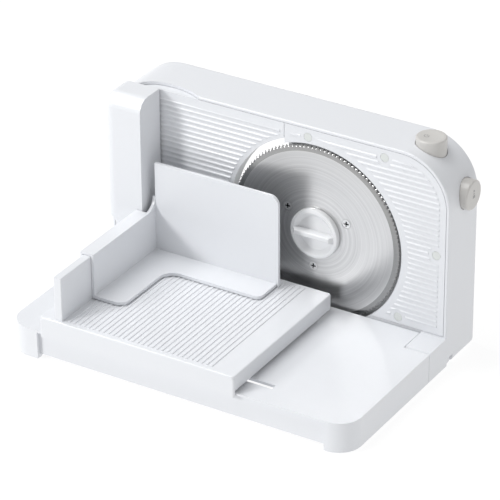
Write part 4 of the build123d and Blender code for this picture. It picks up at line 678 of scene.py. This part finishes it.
def tick_tree():
    """Marks round a dial whose axis lies along Y, every so many of them longer."""
    tree, take = new_tree("dial_tick_set", "GeometryNodeTree", (
        ("Geometry", SHAPE, None), ("Centre", PLACE, (0.0, 0.0, 0.0)), ("Count", COUNT, 16),
        ("Sweep", NUMBER, 5.0), ("Radius", NUMBER, 0.03), ("Length", NUMBER, 0.002),
        ("Extra Length", NUMBER, 0.0015), ("Every", COUNT, 3), ("Width", NUMBER, 0.0006),
        ("Height", NUMBER, 0.0002), ("Finish", FINISH, None)), (("Geometry", SHAPE),))
    line = add_node(tree, "GeometryNodeMeshLine", {"Count": take["Count"]}, mode="OFFSET")
    index = add_node(tree, "GeometryNodeInputIndex", {}).outputs[0]
    steps = maths(tree, "SUBTRACT", take["Count"], 1.0)
    angle = maths(tree, "MULTIPLY", maths(tree, "DIVIDE", index, steps), take["Sweep"])
    longer = maths(tree, "LESS_THAN", maths(tree, "MODULO", index, take["Every"]), 0.5)
    length = maths(tree, "ADD", take["Length"],
                   maths(tree, "MULTIPLY", longer, take["Extra Length"]))
    reach = maths(tree, "ADD", take["Radius"], maths(tree, "MULTIPLY", length, 0.5))
    spot = vector(tree, maths(tree, "MULTIPLY", reach, maths(tree, "SINE", angle)), 0.0,
                  maths(tree, "MULTIPLY", reach, maths(tree, "COSINE", angle)))
    centred = add_node(tree, "ShaderNodeVectorMath", {0: spot, 1: take["Centre"]},
                       operation="ADD")
    spots = add_node(tree, "GeometryNodeSetPosition", {
        "Geometry": line.outputs["Mesh"], "Position": centred.outputs[0]})
    bar = add_node(tree, "GeometryNodeMeshCube", {"Size": (1.0, 1.0, 1.0)})
    copies = add_node(tree, "GeometryNodeInstanceOnPoints", {
        "Points": spots.outputs[0], "Instance": bar.outputs["Mesh"],
        "Rotation": vector(tree, 0.0, angle, 0.0),
        "Scale": vector(tree, take["Width"], take["Height"], length)})
    return close_shape_tree(tree, copies.outputs[0], take["Finish"])


def grown(name, points, tree, values):
    """Plain mesh that a geometry node tree makes on some points."""
    mesh = bpy.data.meshes.new(name)
    mesh.from_pydata(points, [], [])
    obj = plain_object(name, mesh)
    grow = obj.modifiers.new("grow", "NODES")
    grow.node_group = tree
    for item in tree.interface.items_tree:
        if item.item_type == "SOCKET" and item.in_out == "INPUT" and item.name in values:
            grow[item.identifier] = values[item.name]
    return applied(obj)


def loose_parts(mesh):
    """Lowest and highest corner of each separate solid of a CAD node's mesh."""
    work = welded(mesh)
    left = set(work.verts)
    boxes = []
    while left:
        stack = [left.pop()]
        low, high = Vector(stack[0].co), Vector(stack[0].co)
        while stack:
            vertex = stack.pop()
            for axis in range(3):
                low[axis] = min(low[axis], vertex.co[axis])
                high[axis] = max(high[axis], vertex.co[axis])
            for edge in vertex.link_edges:
                other = edge.other_vert(vertex)
                if other in left:
                    left.remove(other)
                    stack.append(other)
        boxes.append((low, high))
    work.free()
    return sorted(boxes, key=lambda box: tuple(box[0]))


def make_screws(tree, finishes):
    """Every set of screws that can be seen, with a cross in each head."""
    for node, (way, finish, kind) in SCREW_SETS.items():
        axis, upwards, turn = WAYS[way]
        boxes = loose_parts(frame["nodes"][node].data)
        places = []
        for low, high in boxes:
            place = (low + high) / 2
            place[axis] = high[axis] if upwards else low[axis]
            places.append(place)
        low, high = boxes[-1]
        screws = grown(node + "_crossed", places, tree, {
            **kind, "Head Radius": (high[ACROSS] - low[ACROSS]) / 2,
            "Length": high[axis] - low[axis], "Turn": turn, "Finish": finishes[finish]})
        smooth_by_angle(screws, SCREW_SMOOTH)
        stand_for(screws, node)


def ring_of(work, centre, radius, depth, count):
    """Ring of vertices round a centre across the blade, at a depth behind the housing's face."""
    ring = []
    for index in range(count):
        angle = 2 * math.pi * index / count
        ring.append(work.verts.new((centre[0] + radius * math.cos(angle), FACE_Y + depth,
                                    centre[1] + radius * math.sin(angle))))
    return ring


def fluted_ring(work, radius, depth, front):
    """Ring near the edge of the blade, hollowed between the tips of its teeth."""
    share = max(0.0, (radius - FLUTE_START) / (BLADE_RADIUS - FLUTE_START))
    count = BLADE_TEETH * TOOTH_STEPS
    ring = []
    for index in range(count):
        angle = 2 * math.pi * index / count
        from_middle = 2 * (index % TOOTH_STEPS) / TOOTH_STEPS - 1
        hollow = share * (1 - from_middle ** 2)
        reach = radius - TOOTH_DEPTH * hollow
        along = FACE_Y + depth + (TOOTH_FLUTE * hollow if front else 0.0)
        ring.append(work.verts.new((BLADE_AXIS.x + reach * math.cos(angle), along,
                                    BLADE_AXIS.z + reach * math.sin(angle))))
    return ring


def join_rings(work, inner, outer):
    """Faces between two rings, the outer one with a whole number of times the vertices."""
    share = len(outer) // len(inner)
    for index in range(len(inner)):
        after = (index + 1) % len(inner)
        far = [outer[(index * share + step) % len(outer)] for step in range(share + 1)]
        work.faces.new([inner[after], inner[index]] + far)


def fill_between(work, rings):
    """Flat face with holes in it, from closed rings of vertices."""
    edges = []
    for ring in rings:
        for index, vertex in enumerate(ring):
            pair = (vertex, ring[(index + 1) % len(ring)])
            edges.append(work.edges.get(pair) or work.edges.new(pair))
    bmesh.ops.triangle_fill(work, use_beauty=True, use_dissolve=False, edges=edges)


def tidy_faces(work):
    """Join the vertices of a closed mesh that lie on each other, and point its faces outwards."""
    bmesh.ops.remove_doubles(work, verts=work.verts, dist=MESH_WELD)
    bmesh.ops.recalc_face_normals(work, faces=work.faces)


def make_blade(finishes):
    """Dished blade: flat middle, turned dish, ground bevel and a scalloped, fluted edge."""
    work = bmesh.new()
    hub = (BLADE_AXIS.x, BLADE_AXIS.z)
    flat_front, flat_rear = DISH_RINGS[0][1], REAR_FLAT[1]
    front_bore = ring_of(work, hub, BORE_RADIUS, flat_front, BORE_STEPS)
    rear_bore = ring_of(work, hub, BORE_RADIUS, flat_rear, BORE_STEPS)
    join_rings(work, rear_bore, front_bore)
    front = [ring_of(work, hub, radius, depth, BLADE_TEETH) for radius, depth in DISH_RINGS]
    rim = [fluted_ring(work, radius, depth, True) for radius, depth in RIM_RINGS]
    rear_rim = [fluted_ring(work, radius, depth, False) for radius, depth in REAR_RINGS]
    rear = ring_of(work, hub, *REAR_FLAT, BLADE_TEETH)
    for inner, outer in zip(front, front[1:] + rim[:1]):
        join_rings(work, inner, outer)
    for inner, outer in zip(rim, rim[1:] + rear_rim):
        join_rings(work, inner, outer)
    join_rings(work, rear, rear_rim[-1])
    mouths, throats = [], []
    for radius, angle in BLADE_HOLES:
        turn = math.radians(angle)
        centre = (BLADE_AXIS.x + radius * math.cos(turn), BLADE_AXIS.z + radius * math.sin(turn))
        mouth = ring_of(work, centre, SINK_RADIUS, flat_front, HOLE_STEPS)
        wall = ring_of(work, centre, SINK_RADIUS, flat_front + SINK_WALL, HOLE_STEPS)
        throat = ring_of(work, centre, THROAT_RADIUS, flat_front + SINK_DEPTH, HOLE_STEPS)
        join_rings(work, wall, mouth)
        join_rings(work, throat, wall)
        mouths.append(mouth)
        throats.append(throat)
    fill_between(work, [front[0], front_bore] + mouths)
    fill_between(work, [rear, rear_bore] + throats)
    tidy_faces(work)
    blade = mesh_object("turned_blade", work)
    smooth_by_angle(blade, BLADE_SMOOTH)
    paint(blade, finishes["blade_steel"])
    stand_for(blade, "blade")


def ribbon(points, width, closed=False):
    """Flat stroke along a line: its vertices and its faces."""
    spots = [Vector(point) for point in points]
    vertices, faces = [], []
    for index, spot in enumerate(spots):
        before = spots[index - 1] if index or closed else spot
        after = spots[(index + 1) % len(spots)] if index < len(spots) - 1 or closed else spot
        along = (after - before).normalized()
        side = Vector((-along.y, along.x)) * width / 2
        vertices += [spot + side, spot - side]
    count = len(spots)
    for index in range(count if closed else count - 1):
        left, after = index * 2, (index + 1) % count * 2
        faces.append((left, left + 1, after + 1, after))
    return vertices, faces


def arc_points(radius, first, last, steps, centre=(0.0, 0.0)):
    """Points of an arc, its angles in degrees."""
    points = []
    for index in range(steps + 1):
        angle = math.radians(first + (last - first) * index / steps)
        points.append((centre[0] + radius * math.cos(angle), centre[1] + radius * math.sin(angle)))
    return points


def line_points(first, last, steps):
    """Evenly spaced points from one end to the other."""
    ends = Vector(first), Vector(last)
    return [tuple(ends[0].lerp(ends[1], index / steps)) for index in range(steps + 1)]


def lay_print(name, shapes, place, right, up, target, body, material):
    """Thin print laid on the surface of another piece."""
    work = bmesh.new()
    work.from_mesh(target.data)
    surface = BVHTree.FromBMesh(work)
    work.free()
    way = right.cross(up)
    vertices, faces = [], []
    for flat_vertices, flat_faces in shapes:
        first = len(vertices)
        for spot in flat_vertices:
            high = place + right * spot[0] + up * spot[1] + way * PRINT_REACH
            hit = surface.ray_cast(high, -way)[0]
            vertices.append(hit + way * PRINT_FILM)
        faces += [tuple(first + corner for corner in face) for face in flat_faces]
    mesh = bpy.data.meshes.new(name)
    mesh.from_pydata([tuple(vertex) for vertex in vertices], [], faces)
    obj = plain_object(name, mesh)
    film = obj.modifiers.new("film", "SOLIDIFY")
    film.thickness = PRINT_FILM * 2
    film.offset = 0.0
    applied(obj)
    work = bmesh.new()
    work.from_mesh(obj.data)
    tidy_faces(work)
    work.to_mesh(obj.data)
    work.free()
    paint(obj, material)
    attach(obj, body)


def power_sign():
    """Open ring with a bar in its gap."""
    stroke = 0.00055
    ring = arc_points(radius=0.0021, first=125, last=415, steps=40)
    bar = line_points(first=(0.0, 0.0004), last=(0.0, 0.0028), steps=6)
    return [ribbon(ring, stroke), ribbon(bar, stroke)]


def lock_sign():
    """Padlock with its shackle, and a dot above it."""
    dot = arc_points(radius=0.0006, first=0, last=345, steps=16, centre=(0.0, 0.0042))
    shackle = arc_points(radius=0.0013, first=0, last=180, steps=16, centre=(0.0, 0.0006))
    case = line_points(first=(-0.0018, -0.0012), last=(0.0018, -0.0012), steps=2)
    return [ribbon(dot, 0.0011, closed=True), ribbon(shackle, 0.00045), ribbon(case, 0.0026)]


def number_shape(text, centre):
    """Faces of one of the dial's numbers, centred on a place."""
    data = bpy.data.curves.new("number", "FONT")
    data.body = text
    data.size = DIAL_NUMBER_HEIGHT
    data.align_x = "CENTER"
    data.align_y = "CENTER"
    data.resolution_u = DIAL_NUMBER_STEPS
    obj = plain_object("number", data)
    mesh = evaluated_mesh(obj)
    vertices = [(vertex.co.x + centre[0], vertex.co.y + centre[1]) for vertex in mesh.vertices]
    faces = [tuple(polygon.vertices) for polygon in mesh.polygons]
    bpy.data.objects.remove(obj)
    bpy.data.curves.remove(data)
    bpy.data.meshes.remove(mesh)
    return vertices, faces


def dial_numbers():
    """Numbers round the thickness knob, the first one on top."""
    shapes = []
    for index, text in enumerate(DIAL_NUMBERS):
        angle = DIAL_SWEEP * index / (len(DIAL_NUMBERS) - 1)
        spot = (-DIAL_NUMBER_RADIUS * math.sin(angle), DIAL_NUMBER_RADIUS * math.cos(angle))
        shapes.append(number_shape(text, spot))
    return shapes


def make_prints(skins, finishes):
    """Power sign and lock sign on the buttons, numbers round the thickness knob."""
    across, along, rise = Vector((1, 0, 0)), Vector((0, 1, 0)), Vector((0, 0, 1))
    lay_print("start_button_sign", power_sign(), START_SIGN_PLACE, across, along,
              skins["start_button"], "start_key", finishes["sign_ink"])
    lay_print("safety_button_sign", lock_sign(), SAFETY_SIGN_PLACE, along, rise,
              skins["safety_button"], "safety_key", finishes["sign_ink"])
    lay_print("dial_numbers", dial_numbers(), DIAL_CENTRE, -across, rise,
              skins["rear_cover"], "housing", finishes["print_ink"])


def make_ticks(finishes):
    """Short marks round the thickness knob, one for each millimetre of slice."""
    ticks = grown("dial_ticks", [(0.0, 0.0, 0.0)], tick_tree(), {
        "Centre": tuple(DIAL_CENTRE), "Count": DIAL_TICKS, "Sweep": DIAL_SWEEP,
        "Radius": DIAL_TICK_RADIUS, "Finish": finishes["print_ink"]})
    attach(ticks, "housing")


place_camera()
light_studio()
slicer_finishes = make_finishes()
slicer_skins = dress_nodes(slicer_finishes)
make_blade(slicer_finishes)
make_screws(cross_screw_tree(), slicer_finishes)
make_ticks(slicer_finishes)
make_prints(slicer_skins, slicer_finishes)
